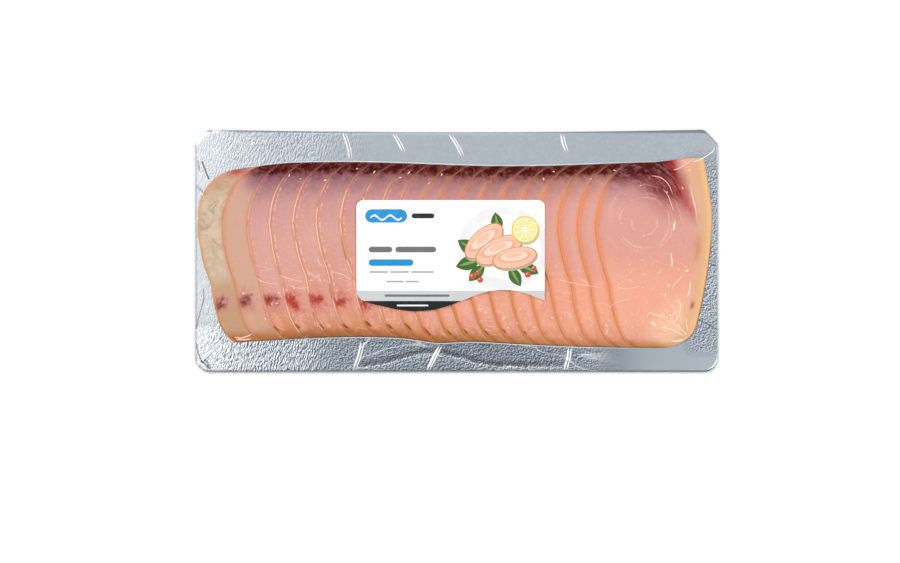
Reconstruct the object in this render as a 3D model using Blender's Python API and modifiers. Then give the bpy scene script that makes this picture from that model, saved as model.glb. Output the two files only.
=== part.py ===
"""Clear vacuum pack of sliced smoked swordfish on a silver card, lying face up.

Frame: +Z up with the floor at z = 0, X along the card, Y across it, and the origin on the floor under
the middle of the pack. The slices are laid like roof tiles from left to right: each one starts further
right than the one before and lies on it, so its left edge shows and its right end slopes down to the
card. Metres throughout.
"""

import math
from collections import namedtuple

import bmesh
import bpy

MM = 0.001

PACK = "smoked_swordfish_pack"
CUTTERS = "cutters"

# Gap between touching pieces, and between one slice and the next
CLEARANCE = 0.30 * MM
SLICE_GAP = 0.25 * MM

# Film: a back sheet flat on the floor, and a front sheet drawn down over everything
FILM = 0.20 * MM
PACK_LENGTH = 300.0 * MM
PACK_WIDTH = 140.0 * MM
CORNER = 8.0 * MM  # cut off each corner
WAIST = 1.5 * MM  # how far the far long edge bows in at its middle
STEP_RUN = 0.8 * MM  # how far the film runs out where it comes down a slice's left edge
SIDE_RUN = 1.4 * MM  # and where it comes down the sides of the fan

# Card, inside the film all round
CARD_INSET = FILM + CLEARANCE
CARD_THICKNESS = 1.0 * MM
CARD_BOTTOM = FILM + CLEARANCE
CARD_TOP = CARD_BOTTOM + CARD_THICKNESS
ON_CARD = CARD_TOP + CLEARANCE

# Fan of slices: where the first slice's nose stands, and the steps from each nose to the next
FIRST_NOSE = -148.1 * MM
LAYING_STEPS = [
    step * MM
    for step in (
        13.7, 14.3, 12.6, 13.9, 13.1, 13.7, 11.6, 10.9, 9.9, 12.4,
        9.4, 11.7, 10.9, 12.0, 11.5, 11.7, 12.0, 11.1, 10.4,
    )
]  # fmt: skip
NOSES = [FIRST_NOSE + sum(LAYING_STEPS[:count]) for count in range(len(LAYING_STEPS) + 1)]
SLICES = len(NOSES)
LAST = SLICES - 1
LAYER = 2.0 * MM  # one slice and the gap over it, in the middle of the fan
PRESSED = 0.42  # share of the layer that the film presses out of the slices' near and far ends
PRESSED_POWER = 5  # how suddenly
LEVELLING = 2  # slices over which the fan's right end levels out on the card
SMOOTHING = [shift * MM for shift in (-8.0, -4.0, 0.0, 4.0, 8.0)]  # evens out the uneven laying

# Outline of one slice. v runs from 0 at its near end to 1 at its far end.
SLICE_LENGTH = 67.5 * MM  # from nose to back, along X
NOSE_V = 0.65  # where the left edge reaches furthest left
HEAD_REACH = 23.4 * MM  # how far the far corner is rounded off, along X
FIRST_HEAD_FROM = 0.75  # the first slice's rounding starts further up than NOSE_V
LEAN = 15.8 * MM  # how far the near end stands right of the nose
LEAN_POWER = 1.3
BELLY = 1.2 * MM  # dent of the left edge below the nose
BELLY_AT = 0.47
BELLY_WIDTH = 0.12
TOE_REACH = 7.0 * MM  # rounding of the near left corner
TOE_FROM = 0.78
BACK_V = 0.70  # where the right edge reaches furthest right
SHOULDER = 4.9 * MM  # how far the far right corner falls short of it
SHOULDER_POWER = 1.3
BACK_LEAN = 12.6 * MM  # and the near right corner
BACK_LEAN_POWER = 1.9
HEEL_REACH = 16.0 * MM  # rounding of the near right corner
HEEL_FROM = 0.84

# Outline of the whole fan. The far side is a long low wave, lower at the left and raised at the right.
FAR_SIDE = 49.6 * MM
FAR_WAVE = 1.2 * MM
FAR_WAVE_LENGTH = 195.0 * MM
FAR_CREST_X = -66.0 * MM
FAR_RISE = 2.8 * MM
FAR_RISE_X = (110.0 * MM, 140.0 * MM)
FAR_DROP = 2.6 * MM
FAR_DROP_X = (-135.0 * MM, -95.0 * MM)

# The near side spreads to the right, with a small bulge at the middle and a swell at the left end.
NEAR_SIDE = -52.0 * MM
NEAR_SPREAD = 3.7 * MM
NEAR_SPREAD_X = 15.0 * MM
NEAR_SPREAD_RUN = 60.0 * MM
NEAR_BULGE = 2.0 * MM
NEAR_BULGE_X = -11.0 * MM
NEAR_BULGE_RUN = 14.0 * MM
NEAR_SWELL = 4.8 * MM
NEAR_SWELL_RUN = 55.0 * MM

# Label, stuck on the film over the crests of the slices
LABEL_THICKNESS = 0.20 * MM
LABEL_LEFT = -57.0 * MM
LABEL_RIGHT = 50.2 * MM
LABEL_FAR = 28.8 * MM
LABEL_NEAR = -28.4 * MM
LABEL_CORNER = 4.0 * MM
LABEL_TURN = 3.2 * MM  # where the near edge changes from a dip to a rise
LABEL_DIP = 6.1 * MM  # how far it dips left of that
LABEL_RISE = 6.2 * MM  # and how far it rises right of it
LABEL_LIFT = CLEARANCE + FILM + CLEARANCE
LABEL_SPARE = 3.0 * MM  # what is trimmed off round the outline
LABEL_CUTTER_HEIGHT = 40.0 * MM

# Mesh density
SLICE_COLUMNS = 7
LAST_SLICE_COLUMNS = 11
ROWS = 12
ROW_CROWDING = 0.75  # how much closer the rows lie near both ends of a slice, from 0 to 1
EDGE_POINTS = 12
LABEL_COLUMNS = 12
LABEL_ROWS = 6
LABEL_EDGE_POINTS = 20
LABEL_ARC_POINTS = 4
WELD = 0.01 * MM
SHARP_ANGLE = math.radians(40.0)

# A column of the front film: its kind, the end of the pack it belongs to (-1 left, 1 right), the slice
# it follows and how far across that slice it lies. A row is its kind, its side of the pack (-1 near,
# 1 far) and its v.
Column = namedtuple("Column", "kind end number share", defaults=(0, 0, 0.0))
Row = namedtuple("Row", "kind side v", defaults=(0, 0.0))


def ease(t):
    t = min(max(t, 0.0), 1.0)
    return t * t * (3.0 - 2.0 * t)


def ramp(x, start, end):
    return ease((x - start) / (end - start))


def hump(x, middle, width):
    return math.exp(-(((x - middle) / width) ** 2))


def quarter_round(t):
    """0 up to t = 0, then the rise of a quarter circle to 1 at t = 1."""
    t = min(max(t, 0.0), 1.0)
    return 1.0 - math.sqrt(1.0 - t * t)


# Outlines in plan


def left_offset(number, v):
    """How far a slice's left edge stands right of its nose."""
    if v >= NOSE_V:
        head_from = FIRST_HEAD_FROM if number == 0 else NOSE_V
        return HEAD_REACH * quarter_round((v - head_from) / (1.0 - head_from))
    down = (NOSE_V - v) / NOSE_V
    toe = TOE_REACH * quarter_round((down - TOE_FROM) / (1.0 - TOE_FROM))
    return LEAN * down**LEAN_POWER + BELLY * hump(down, BELLY_AT, BELLY_WIDTH) + toe


def right_offset(v):
    """How far a slice's right edge stands right of its nose."""
    if v >= BACK_V:
        return SLICE_LENGTH - SHOULDER * ((v - BACK_V) / (1.0 - BACK_V)) ** SHOULDER_POWER
    down = (BACK_V - v) / BACK_V
    heel = HEEL_REACH * quarter_round((down - HEEL_FROM) / (1.0 - HEEL_FROM))
    return SLICE_LENGTH - BACK_LEAN * down**BACK_LEAN_POWER - heel


def slice_x(number, v, share):
    """X of a point `share` of the way from a slice's left edge to its right one."""
    return NOSES[number] + (1.0 - share) * left_offset(number, v) + share * right_offset(v)


def far_side(x):
    wave = FAR_WAVE * math.cos(2.0 * math.pi * (x - FAR_CREST_X) / FAR_WAVE_LENGTH)
    return FAR_SIDE + wave + FAR_RISE * ramp(x, *FAR_RISE_X) - FAR_DROP * (1.0 - ramp(x, *FAR_DROP_X))


def near_side(x):
    spread = NEAR_SPREAD * math.tanh((x - NEAR_SPREAD_X) / NEAR_SPREAD_RUN)
    bulge = NEAR_BULGE * hump(x, NEAR_BULGE_X, NEAR_BULGE_RUN)
    return NEAR_SIDE - spread - bulge - NEAR_SWELL * hump(x, FIRST_NOSE, NEAR_SWELL_RUN)


def across(x, v):
    """Y of a point of the fan."""
    return near_side(x) + v * (far_side(x) - near_side(x))


def v_at(x, y):
    """The fan's v at a point in plan."""
    return (y - near_side(x)) / (far_side(x) - near_side(x))


def pack_far_edge(x):
    """Y of the pack's far edge at x, bowed in at the middle."""
    share = min(abs(x) / (PACK_LENGTH / 2.0 - CORNER), 1.0)
    return PACK_WIDTH / 2.0 - WAIST * (1.0 - share * share)


def pack_outline(inset):
    """The pack's outline in plan, `inset` inside the film's."""
    half_length = PACK_LENGTH / 2.0 - inset
    half_width = PACK_WIDTH / 2.0 - inset
    reach = half_length - CORNER
    side = half_width - CORNER
    far_edge = []
    for step in range(EDGE_POINTS + 1):
        x = reach * (1.0 - 2.0 * step / EDGE_POINTS)
        far_edge.append((x, pack_far_edge(x) - inset))
    left = [(-half_length, side), (-half_length, -side)]
    near_edge = [(-reach, -half_width), (reach, -half_width)]
    right = [(half_length, -side), (half_length, side)]
    return far_edge + left + near_edge + right


def label_near_edge(x):
    """Y of the label's waved near edge: it dips left of the middle, and rises right of it."""
    if x < LABEL_TURN:
        share = max((x - LABEL_LEFT) / (LABEL_TURN - LABEL_LEFT), 0.0)
        return LABEL_NEAR - LABEL_DIP * math.sin(math.pi * share**1.25)
    share = (x - LABEL_TURN) / (LABEL_RIGHT - LABEL_TURN)
    return LABEL_NEAR + LABEL_RISE * math.sin(math.pi * share)


def label_outline():
    """The label's outline: rounded corners but the near right one, and a waved near edge."""
    points = []
    middle_y = LABEL_FAR - LABEL_CORNER
    for middle_x, start in ((LABEL_RIGHT - LABEL_CORNER, 0.0), (LABEL_LEFT + LABEL_CORNER, 90.0)):
        for step in range(LABEL_ARC_POINTS + 1):
            angle = math.radians(start + 90.0 * step / LABEL_ARC_POINTS)
            x = middle_x + LABEL_CORNER * math.cos(angle)
            points.append((x, middle_y + LABEL_CORNER * math.sin(angle)))
    for step in range(LABEL_EDGE_POINTS + 1):
        x = LABEL_LEFT + (LABEL_RIGHT - LABEL_LEFT) * step / LABEL_EDGE_POINTS
        rounding = LABEL_CORNER * quarter_round(1.0 - (x - LABEL_LEFT) / (2.0 * LABEL_CORNER))
        points.append((x, label_near_edge(x) + rounding))
    return points


# Heights of the stack


def index_at(x):
    """Which slice's nose stands at x, counting from 0, with fractions between noses."""
    for number, step in enumerate(LAYING_STEPS):
        if x <= NOSES[number + 1]:
            return number + (x - NOSES[number]) / step
    return LAST + (x - NOSES[LAST]) / LAYING_STEPS[-1]


def even_index_at(x):
    """index_at with the uneven steps smoothed out."""
    return sum(index_at(x + shift) for shift in SMOOTHING) / len(SMOOTHING)


def slices_ended(x, v):
    """How many slices have come to their right end left of here, eased in over the first few."""
    ended = even_index_at(x - right_offset(v))
    if ended <= 0.0:
        return 0.0
    if ended >= LEVELLING:
        return ended
    t = ended / LEVELLING
    return LEVELLING * t * t * (2.0 - t)


def layer_height(v):
    return LAYER * (1.0 - PRESSED * abs(2.0 * v - 1.0) ** PRESSED_POWER)


def underside(number, x, v):
    """Z of a slice's underside: it lies on the slices before it that reach this far."""
    return ON_CARD + (number - slices_ended(x, v)) * layer_height(v)


def topside(number, x, v):
    return underside(number, x, v) + layer_height(v) - SLICE_GAP


def crest(x, y):
    """Z of the smooth surface through the tops of all left edges."""
    v = v_at(x, y)
    return topside(even_index_at(x - left_offset(LAST, v)), x, v)


def row_heights():
    """The values of v at the rows of the slices and of the film."""
    heights = []
    for row in range(ROWS + 1):
        even = row / ROWS
        crowded = 0.5 - 0.5 * math.cos(math.pi * even)
        heights.append(even + ROW_CROWDING * (crowded - even))
    return heights


# Building blocks


def clear_scene():
    for obj in list(bpy.data.objects):
        bpy.data.objects.remove(obj)


def material(name, colour, roughness, metallic=0.0, alpha=1.0):
    made = bpy.data.materials.new(name)
    made.use_nodes = True
    shader = made.node_tree.nodes["Principled BSDF"]
    shader.inputs["Base Color"].default_value = (*colour, 1.0)
    shader.inputs["Roughness"].default_value = roughness
    shader.inputs["Metallic"].default_value = metallic
    shader.inputs["Alpha"].default_value = alpha
    made.diffuse_color = (*colour, alpha)
    return made


def add_object(name, data, finish, collection=PACK):
    obj = bpy.data.objects.new(name, data)
    obj.data.materials.append(finish)
    bpy.data.collections[collection].objects.link(obj)
    return obj


def mapped_grid(name, columns, rows, finish, place, closed=True):
    """A grid of columns by rows cells, whose corner (column, row, side) goes to place(column, row, side).

    Closed, it is a slab with side 0 underneath and side 1 on top. Open, it is one sheet, side 0.
    """
    bm = bmesh.new()
    bmesh.ops.create_grid(bm, x_segments=columns, y_segments=rows, size=0.5)
    if closed:
        grown = bmesh.ops.extrude_face_region(bm, geom=bm.faces[:])
        for element in grown["geom"]:
            if isinstance(element, bmesh.types.BMVert):
                element.co.z = 1.0
    for vert in bm.verts:
        column = round((vert.co.x + 0.5) * columns)
        row = round((vert.co.y + 0.5) * rows)
        vert.co = place(column, row, round(vert.co.z))
    bmesh.ops.remove_doubles(bm, verts=bm.verts[:], dist=WELD)
    bmesh.ops.recalc_face_normals(bm, faces=bm.faces[:])
    mesh = bpy.data.meshes.new(name)
    bm.to_mesh(mesh)
    bm.free()
    mesh.shade_smooth()
    mesh.set_sharp_from_angle(angle=SHARP_ANGLE)
    return add_object(name, mesh, finish)


def outline_plate(name, points, bottom, thickness, finish, collection=PACK):
    """A flat plate cut to a closed outline, standing from z = bottom upwards."""
    curve = bpy.data.curves.new(name, "CURVE")
    curve.dimensions = "2D"
    curve.fill_mode = "BOTH"
    curve.extrude = thickness / 2.0
    spline = curve.splines.new("POLY")
    spline.points.add(len(points) - 1)
    for point, (x, y) in zip(spline.points, points):
        point.co = (x, y, 0.0, 1.0)
    spline.use_cyclic_u = True
    plate = add_object(name, curve, finish, collection)
    plate.location.z = bottom + thickness / 2.0
    return plate


def as_cutter(plate):
    """The plate as a closed mesh that a Boolean can cut with."""
    bpy.context.view_layer.update()
    graph = bpy.context.evaluated_depsgraph_get()
    mesh = bpy.data.meshes.new_from_object(plate.evaluated_get(graph))
    bm = bmesh.new()
    bm.from_mesh(mesh)
    bmesh.ops.remove_doubles(bm, verts=bm.verts[:], dist=WELD)
    bm.to_mesh(mesh)
    bm.free()
    cutter = bpy.data.objects.new(plate.name + "_cutter", mesh)
    cutter.matrix_world = plate.matrix_world
    cutter.hide_render = True
    cutter.display_type = "WIRE"
    bpy.data.collections[CUTTERS].objects.link(cutter)
    bpy.data.objects.remove(plate)
    return cutter


# Pieces


def make_slice(number, finish):
    """One slice: a limp plate that lies on the slices before it and slopes down to the card."""
    heights = row_heights()
    columns = LAST_SLICE_COLUMNS if number == LAST else SLICE_COLUMNS

    def place(column, row, side):
        v = heights[row]
        x = slice_x(number, v, column / columns)
        z = topside(number, x, v) if side else underside(number, x, v)
        return (x, across(x, v), z)

    mapped_grid(f"slice_{number + 1:02d}", columns, ROWS, finish, place)


def film_columns():
    """The front film's columns from left to right: two at each slice's left edge."""
    columns = [Column("hem", -1), Column("rim", -1), Column("margin", -1)]
    for number in range(SLICES):
        columns += [Column("foot", 0, number), Column("crest", 0, number)]
    for step in range(1, 6):
        columns.append(Column("crest", 0, LAST, step / 5))
    columns += [Column("foot", 0, LAST, 1.0), Column("margin", 1), Column("rim", 1), Column("hem", 1)]
    return columns


def film_rows():
    """The front film's rows from near to far."""
    near = [Row("hem", -1), Row("rim", -1), Row("margin", -1), Row("foot", -1, 0.0)]
    fan = [Row("fan", 0, v) for v in row_heights()]
    far = [Row("foot", 1, 1.0), Row("margin", 1, 1.0), Row("rim", 1, 1.0), Row("hem", 1, 1.0)]
    return near + fan + far


def film_x(column, row):
    """X of the inner face of the film."""
    rim = PACK_LENGTH / 2.0 - FILM
    if column.kind in ("rim", "hem"):
        cut = CORNER / 2.0 if row.kind in ("rim", "hem") else 0.0
        return column.end * (rim - cut)
    if column.kind == "margin":
        if row.kind in ("margin", "rim", "hem"):
            return column.end * (rim - CORNER)
        last_foot = Column("foot", 0, LAST, 1.0)
        foot = film_x(last_foot if column.end > 0 else Column("foot"), row)
        return (foot + column.end * rim) / 2.0
    x = slice_x(column.number, row.v, column.share)
    if column.share == 0.0:
        x -= CLEARANCE + (STEP_RUN if column.kind == "foot" else 0.0)
    if column.share == 1.0:
        x += CLEARANCE + (SIDE_RUN if column.kind == "foot" else 0.0)
    return x if row.kind in ("fan", "foot") else min(x, rim - CORNER)


def film_y(x, column, row):
    """Y of the inner face of the film."""
    if row.kind in ("rim", "hem"):
        rim = (pack_far_edge(x) if row.side > 0 else PACK_WIDTH / 2.0) - FILM
        cut = CORNER / 2.0 if column.kind in ("rim", "hem") else 0.0
        return row.side * (rim - cut)
    if row.kind == "margin":
        return row.side * (PACK_WIDTH / 2.0 - FILM - CORNER)
    if row.kind == "foot":
        return across(x, row.v) + row.side * (CLEARANCE + SIDE_RUN)
    if row.v == 0.0:
        return across(x, row.v) - CLEARANCE
    if row.v == 1.0:
        return across(x, row.v) + CLEARANCE
    return across(x, row.v)


def film_z(x, column, row):
    """Z of the inner face of the film."""
    if "hem" in (column.kind, row.kind):
        return CARD_BOTTOM
    if column.kind in ("rim", "margin") or row.kind != "fan":
        return ON_CARD
    if column.kind == "crest":
        return topside(column.number, x, row.v) + CLEARANCE
    if column.number == 0 or column.share == 1.0:
        return ON_CARD
    return topside(column.number - 1, x, row.v) + CLEARANCE


def make_front_film(finish):
    """The front film: a thin skin over the slices and the card, turned down over the card's edge."""
    columns = film_columns()
    rows = film_rows()

    def place(column_number, row_number, _side):
        column = columns[column_number]
        row = rows[row_number]
        x = film_x(column, row)
        return (x, film_y(x, column, row), film_z(x, column, row))

    film = mapped_grid("film_front", len(columns) - 1, len(rows) - 1, finish, place, closed=False)
    shell = film.modifiers.new("thickness", "SOLIDIFY")
    shell.thickness = FILM
    shell.offset = 1.0


def make_label(finish):
    """The label: a thin sheet that lies over the crests of the slices, trimmed to its outline."""
    left = LABEL_LEFT - LABEL_SPARE
    near = LABEL_NEAR - LABEL_DIP - LABEL_SPARE
    length = LABEL_RIGHT + LABEL_SPARE - left
    width = LABEL_FAR + LABEL_SPARE - near

    def place(column, row, side):
        x = left + length * column / LABEL_COLUMNS
        y = near + width * row / LABEL_ROWS
        return (x, y, crest(x, y) + LABEL_LIFT + side * LABEL_THICKNESS)

    label = mapped_grid("label", LABEL_COLUMNS, LABEL_ROWS, finish, place)
    plate = outline_plate("label_outline", label_outline(), 0.0, LABEL_CUTTER_HEIGHT, finish, CUTTERS)
    trim = label.modifiers.new("trim", "BOOLEAN")
    trim.operation = "INTERSECT"
    trim.object = as_cutter(plate)


def build():
    clear_scene()
    for name in (PACK, CUTTERS):
        group = bpy.data.collections.new(name)
        bpy.context.scene.collection.children.link(group)
    silver = material("silver_card", (0.62, 0.66, 0.70), 0.3, metallic=0.9)
    clear = material("clear_film", (0.95, 0.96, 0.97), 0.1, alpha=0.2)
    crust = material("smoked_crust", (0.67, 0.52, 0.33), 0.45)
    fish = material("smoked_fish", (0.80, 0.41, 0.31), 0.4)
    paper = material("label_paper", (0.93, 0.93, 0.92), 0.5)
    outline_plate("film_back", pack_outline(0.0), 0.0, FILM, clear)
    outline_plate("card", pack_outline(CARD_INSET), CARD_BOTTOM, CARD_THICKNESS, silver)
    for number in range(SLICES):
        make_slice(number, crust if number == 0 else fish)
    make_front_film(clear)
    make_label(paper)


build()
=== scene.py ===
"""Looks of a clear vacuum pack of sliced smoked swordfish on a silver card.

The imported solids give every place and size. The slices, the card, the film and the label are made again
here as fine meshes over the same outlines, and take the solids' place. Metres; +Z up, out of the pack's
face; +X along the fan of slices; +Y towards the pack's far edge.
"""

import math

import bpy
import numpy as np
from bpy.props import FloatProperty, FloatVectorProperty, PointerProperty
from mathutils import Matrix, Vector
from mathutils.geometry import delaunay_2d_cdt


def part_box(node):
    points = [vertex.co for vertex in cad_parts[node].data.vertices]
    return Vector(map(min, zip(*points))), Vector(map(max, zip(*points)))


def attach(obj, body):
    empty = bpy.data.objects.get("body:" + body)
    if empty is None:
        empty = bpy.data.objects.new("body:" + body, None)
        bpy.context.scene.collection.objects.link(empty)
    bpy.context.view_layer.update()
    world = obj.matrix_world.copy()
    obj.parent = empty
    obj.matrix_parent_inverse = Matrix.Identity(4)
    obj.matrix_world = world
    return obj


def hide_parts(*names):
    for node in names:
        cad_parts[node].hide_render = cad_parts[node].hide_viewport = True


bl_info = {
    "name": "Smoked fish vacuum pack",
    "version": (1, 0, 0),
    "blender": (4, 5, 0),
    "location": "View3D > Sidebar > Pack",
    "description": "Makes a clear vacuum pack of sliced smoked fish, piece by piece",
    "category": "Add Mesh",
}

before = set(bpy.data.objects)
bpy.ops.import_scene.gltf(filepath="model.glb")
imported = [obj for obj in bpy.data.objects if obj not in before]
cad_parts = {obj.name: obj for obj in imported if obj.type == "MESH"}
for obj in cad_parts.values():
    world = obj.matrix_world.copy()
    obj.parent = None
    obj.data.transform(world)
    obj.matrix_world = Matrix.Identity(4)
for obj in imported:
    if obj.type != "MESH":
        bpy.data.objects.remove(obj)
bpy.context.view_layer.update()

MM = 0.001
BODY = "root"

# What the solids say: the pack's outline, the card, and where each slice's nose stands
PACK_LOW, PACK_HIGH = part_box("film_front")
CARD_LOW, CARD_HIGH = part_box("card")
HALF_LENGTH = PACK_HIGH.x
HALF_WIDTH = PACK_HIGH.y
SLICE_NODES = sorted(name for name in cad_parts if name.startswith("slice_"))
NOSES = np.array([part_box(name)[0].x for name in SLICE_NODES])
SLICES = len(SLICE_NODES)
LAST = SLICES - 1
FISH_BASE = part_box(SLICE_NODES[0])[0].z

# Outlines, as the solids have them
CORNER = 8.0 * MM
FAR_CORNER_POWER = 1.25  # how rounded the far, cut corners are; the near ones are round
WAIST = 1.5 * MM
LAYER = 2.0 * MM
SLICE_GAP = 0.25 * MM
PRESSED = 0.42
PRESSED_POWER = 5
LEVELLING = 2
SMOOTHING = np.array([-8.0, -4.0, 0.0, 4.0, 8.0]) * MM
SLICE_LENGTH = 67.5 * MM
NOSE_V = 0.65
HEAD_REACH = 23.4 * MM
FIRST_HEAD_FROM = 0.75
LEAN = 15.8 * MM
LEAN_POWER = 1.3
BELLY = 1.2 * MM
BELLY_AT = 0.47
BELLY_WIDTH = 0.12
TOE_REACH = 7.0 * MM
TOE_FROM = 0.78
BACK_V = 0.70
SHOULDER = 4.9 * MM
SHOULDER_POWER = 1.3
BACK_LEAN = 12.6 * MM
BACK_LEAN_POWER = 1.9
HEEL_REACH = 16.0 * MM
HEEL_FROM = 0.84
FAR_SIDE = 49.6 * MM
FAR_WAVE = 1.2 * MM
FAR_WAVE_LENGTH = 195.0 * MM
FAR_CREST_X = -66.0 * MM
FAR_RISE = 2.8 * MM
FAR_RISE_X = (110.0 * MM, 140.0 * MM)
FAR_DROP = 2.6 * MM
FAR_DROP_X = (-135.0 * MM, -95.0 * MM)
NEAR_SIDE = -52.0 * MM
NEAR_SPREAD = 3.7 * MM
NEAR_SPREAD_X = 15.0 * MM
NEAR_SPREAD_RUN = 60.0 * MM
NEAR_BULGE = 2.0 * MM
NEAR_BULGE_X = -11.0 * MM
NEAR_BULGE_RUN = 14.0 * MM
NEAR_SWELL = 4.8 * MM
NEAR_SWELL_RUN = 55.0 * MM
LABEL_LEFT = -57.0 * MM
LABEL_RIGHT = 50.2 * MM
LABEL_FAR = 28.8 * MM
LABEL_NEAR = -28.4 * MM
LABEL_CORNER = 4.0 * MM
LABEL_TURN = 3.2 * MM
LABEL_DIP = 6.1 * MM
LABEL_RISE = 6.2 * MM

# Mesh density
SLICE_COLUMNS = 40
LAST_SLICE_COLUMNS = 90
SLICE_ROWS = 96
FIELD_STEP = 0.5 * MM
FILM_STEP = 0.78 * MM
CARD_STEP = 1.6 * MM
LABEL_STEP = 1.3 * MM
EDGE_DROP = 0.80  # share of a slice's thickness that its rounded edge loses from above


# Small maths, on numbers or arrays


def ease(t):
    t = np.clip(t, 0.0, 1.0)
    return t * t * (3.0 - 2.0 * t)


def ramp(x, start, end):
    return ease((x - start) / (end - start))


def hump(x, middle, width):
    return np.exp(-(((x - middle) / width) ** 2))


def quarter_round(t):
    t = np.clip(t, 0.0, 1.0)
    return 1.0 - np.sqrt(1.0 - t * t)


def waves(x, y, seed, lengths, count=7):
    """A smooth random relief from -1 to 1: sines of the given shortest and longest wavelengths."""
    draw = np.random.default_rng(seed)
    total = 0.0
    for _ in range(count):
        angle = draw.uniform(0.0, math.tau)
        number = math.tau / draw.uniform(*lengths)
        phase = draw.uniform(0.0, math.tau)
        total = total + np.sin((x * math.cos(angle) + y * math.sin(angle)) * number + phase)
    return total / count


# Outline of a slice and of the fan. v runs from 0 at a slice's near end to 1 at its far end.


def edge_wobble(number, v):
    """How far a slice's cut left edge strays from its curve: hand-cut, a little uneven."""
    draw = np.random.default_rng(100 + number)
    total = 0.0
    for turns in (1.5, 3.1, 5.3, 9.0):
        total = total + np.sin(v * turns * math.tau + draw.uniform(0.0, math.tau)) / turns
    return 0.28 * MM * total * np.sin(math.pi * np.clip(v, 0.0, 1.0))


def left_offset(number, v):
    head_from = FIRST_HEAD_FROM if number == 0 else NOSE_V
    head = HEAD_REACH * quarter_round((v - head_from) / (1.0 - head_from))
    down = np.clip((NOSE_V - v) / NOSE_V, 0.0, 1.0)
    toe = TOE_REACH * quarter_round((down - TOE_FROM) / (1.0 - TOE_FROM))
    foot = LEAN * down**LEAN_POWER + BELLY * hump(down, BELLY_AT, BELLY_WIDTH) * (down > 0.0) + toe
    return head + foot + edge_wobble(number, v)


def right_offset(v):
    up = np.clip((v - BACK_V) / (1.0 - BACK_V), 0.0, 1.0)
    down = np.clip((BACK_V - v) / BACK_V, 0.0, 1.0)
    heel = HEEL_REACH * quarter_round((down - HEEL_FROM) / (1.0 - HEEL_FROM))
    return SLICE_LENGTH - SHOULDER * up**SHOULDER_POWER - BACK_LEAN * down**BACK_LEAN_POWER - heel


def far_side(x):
    wave = FAR_WAVE * np.cos(math.tau * (x - FAR_CREST_X) / FAR_WAVE_LENGTH)
    return FAR_SIDE + wave + FAR_RISE * ramp(x, *FAR_RISE_X) - FAR_DROP * (1.0 - ramp(x, *FAR_DROP_X))


def near_side(x):
    spread = NEAR_SPREAD * np.tanh((x - NEAR_SPREAD_X) / NEAR_SPREAD_RUN)
    bulge = NEAR_BULGE * hump(x, NEAR_BULGE_X, NEAR_BULGE_RUN)
    return NEAR_SIDE - spread - bulge - NEAR_SWELL * hump(x, NOSES[0], NEAR_SWELL_RUN)


def across(x, v):
    return near_side(x) + v * (far_side(x) - near_side(x))


def v_at(x, y):
    return (y - near_side(x)) / (far_side(x) - near_side(x))


# Heights of the stack


def index_at(x):
    """Which slice's nose stands at x, counting from 0, with fractions between noses."""
    before = NOSES[0] - 10.0 * (NOSES[1] - NOSES[0])
    after = NOSES[-1] + 10.0 * (NOSES[-1] - NOSES[-2])
    return np.interp(x, [before, *NOSES, after], [-10.0, *range(SLICES), LAST + 10.0])


def slices_ended(x, v):
    start = x - right_offset(v)
    ended = sum(index_at(start + shift) for shift in SMOOTHING) / len(SMOOTHING)
    t = np.clip(ended / LEVELLING, 0.0, 1.0)
    return np.where(ended >= LEVELLING, ended, LEVELLING * t * t * (2.0 - t))


def layer_height(v):
    return LAYER * (1.0 - PRESSED * np.abs(2.0 * np.clip(v, 0.0, 1.0) - 1.0) ** PRESSED_POWER)


def lie(x, y):
    """Gentle unevenness that all the slices share where they lie on each other."""
    broad = 0.16 * MM * waves(x, y, 5, (28.0 * MM, 60.0 * MM))
    return broad + 0.05 * MM * waves(x, y, 6, (9.0 * MM, 16.0 * MM))


def underside(number, x, v):
    height = FISH_BASE + (number - slices_ended(x, v)) * layer_height(v)
    return height + lie(x, across(x, v)) * ramp(height, FISH_BASE, FISH_BASE + LAYER)


def topside(number, x, v):
    return underside(number, x, v) + layer_height(v) - SLICE_GAP


def rounding(distance, radius):
    """How much of a rounded edge's thickness is missing at a distance in from the edge."""
    return quarter_round(1.0 - distance / radius)


# Meshes


def add_piece(name, vertices, faces, material, smooth=True):
    mesh = bpy.data.meshes.new(name)
    mesh.from_pydata([tuple(v) for v in vertices], [], faces)
    mesh.validate()
    if smooth:
        mesh.shade_smooth()
    mesh.materials.append(material)
    piece = bpy.data.objects.new(name, mesh)
    bpy.context.scene.collection.objects.link(piece)
    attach(piece, BODY)
    return piece


def add_attribute(piece, name, values):
    attribute = piece.data.attributes.new(name, "FLOAT", "POINT")
    attribute.data.foreach_set("value", np.ascontiguousarray(values, dtype=np.float32))


def grid_faces(index, flip=False):
    """Quads over a two-way array of vertex numbers."""
    a, b, c, d = index[:-1, :-1], index[1:, :-1], index[1:, 1:], index[:-1, 1:]
    corners = (d, c, b, a) if flip else (a, b, c, d)
    return np.stack([corner.ravel() for corner in corners], axis=1).tolist()


def grid_rim(index):
    """The vertex numbers round a grid's edge, anticlockwise from above."""
    return np.concatenate((index[:-1, 0], index[-1, :-1], index[:0:-1, -1], index[0, :0:-1]))


def strip_faces(upper, lower):
    """Quads from one closed ring of vertex numbers down to the next."""
    ahead = np.roll(upper, -1), np.roll(lower, -1)
    return np.stack((upper, lower, ahead[1], ahead[0]), axis=1).tolist()


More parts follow.
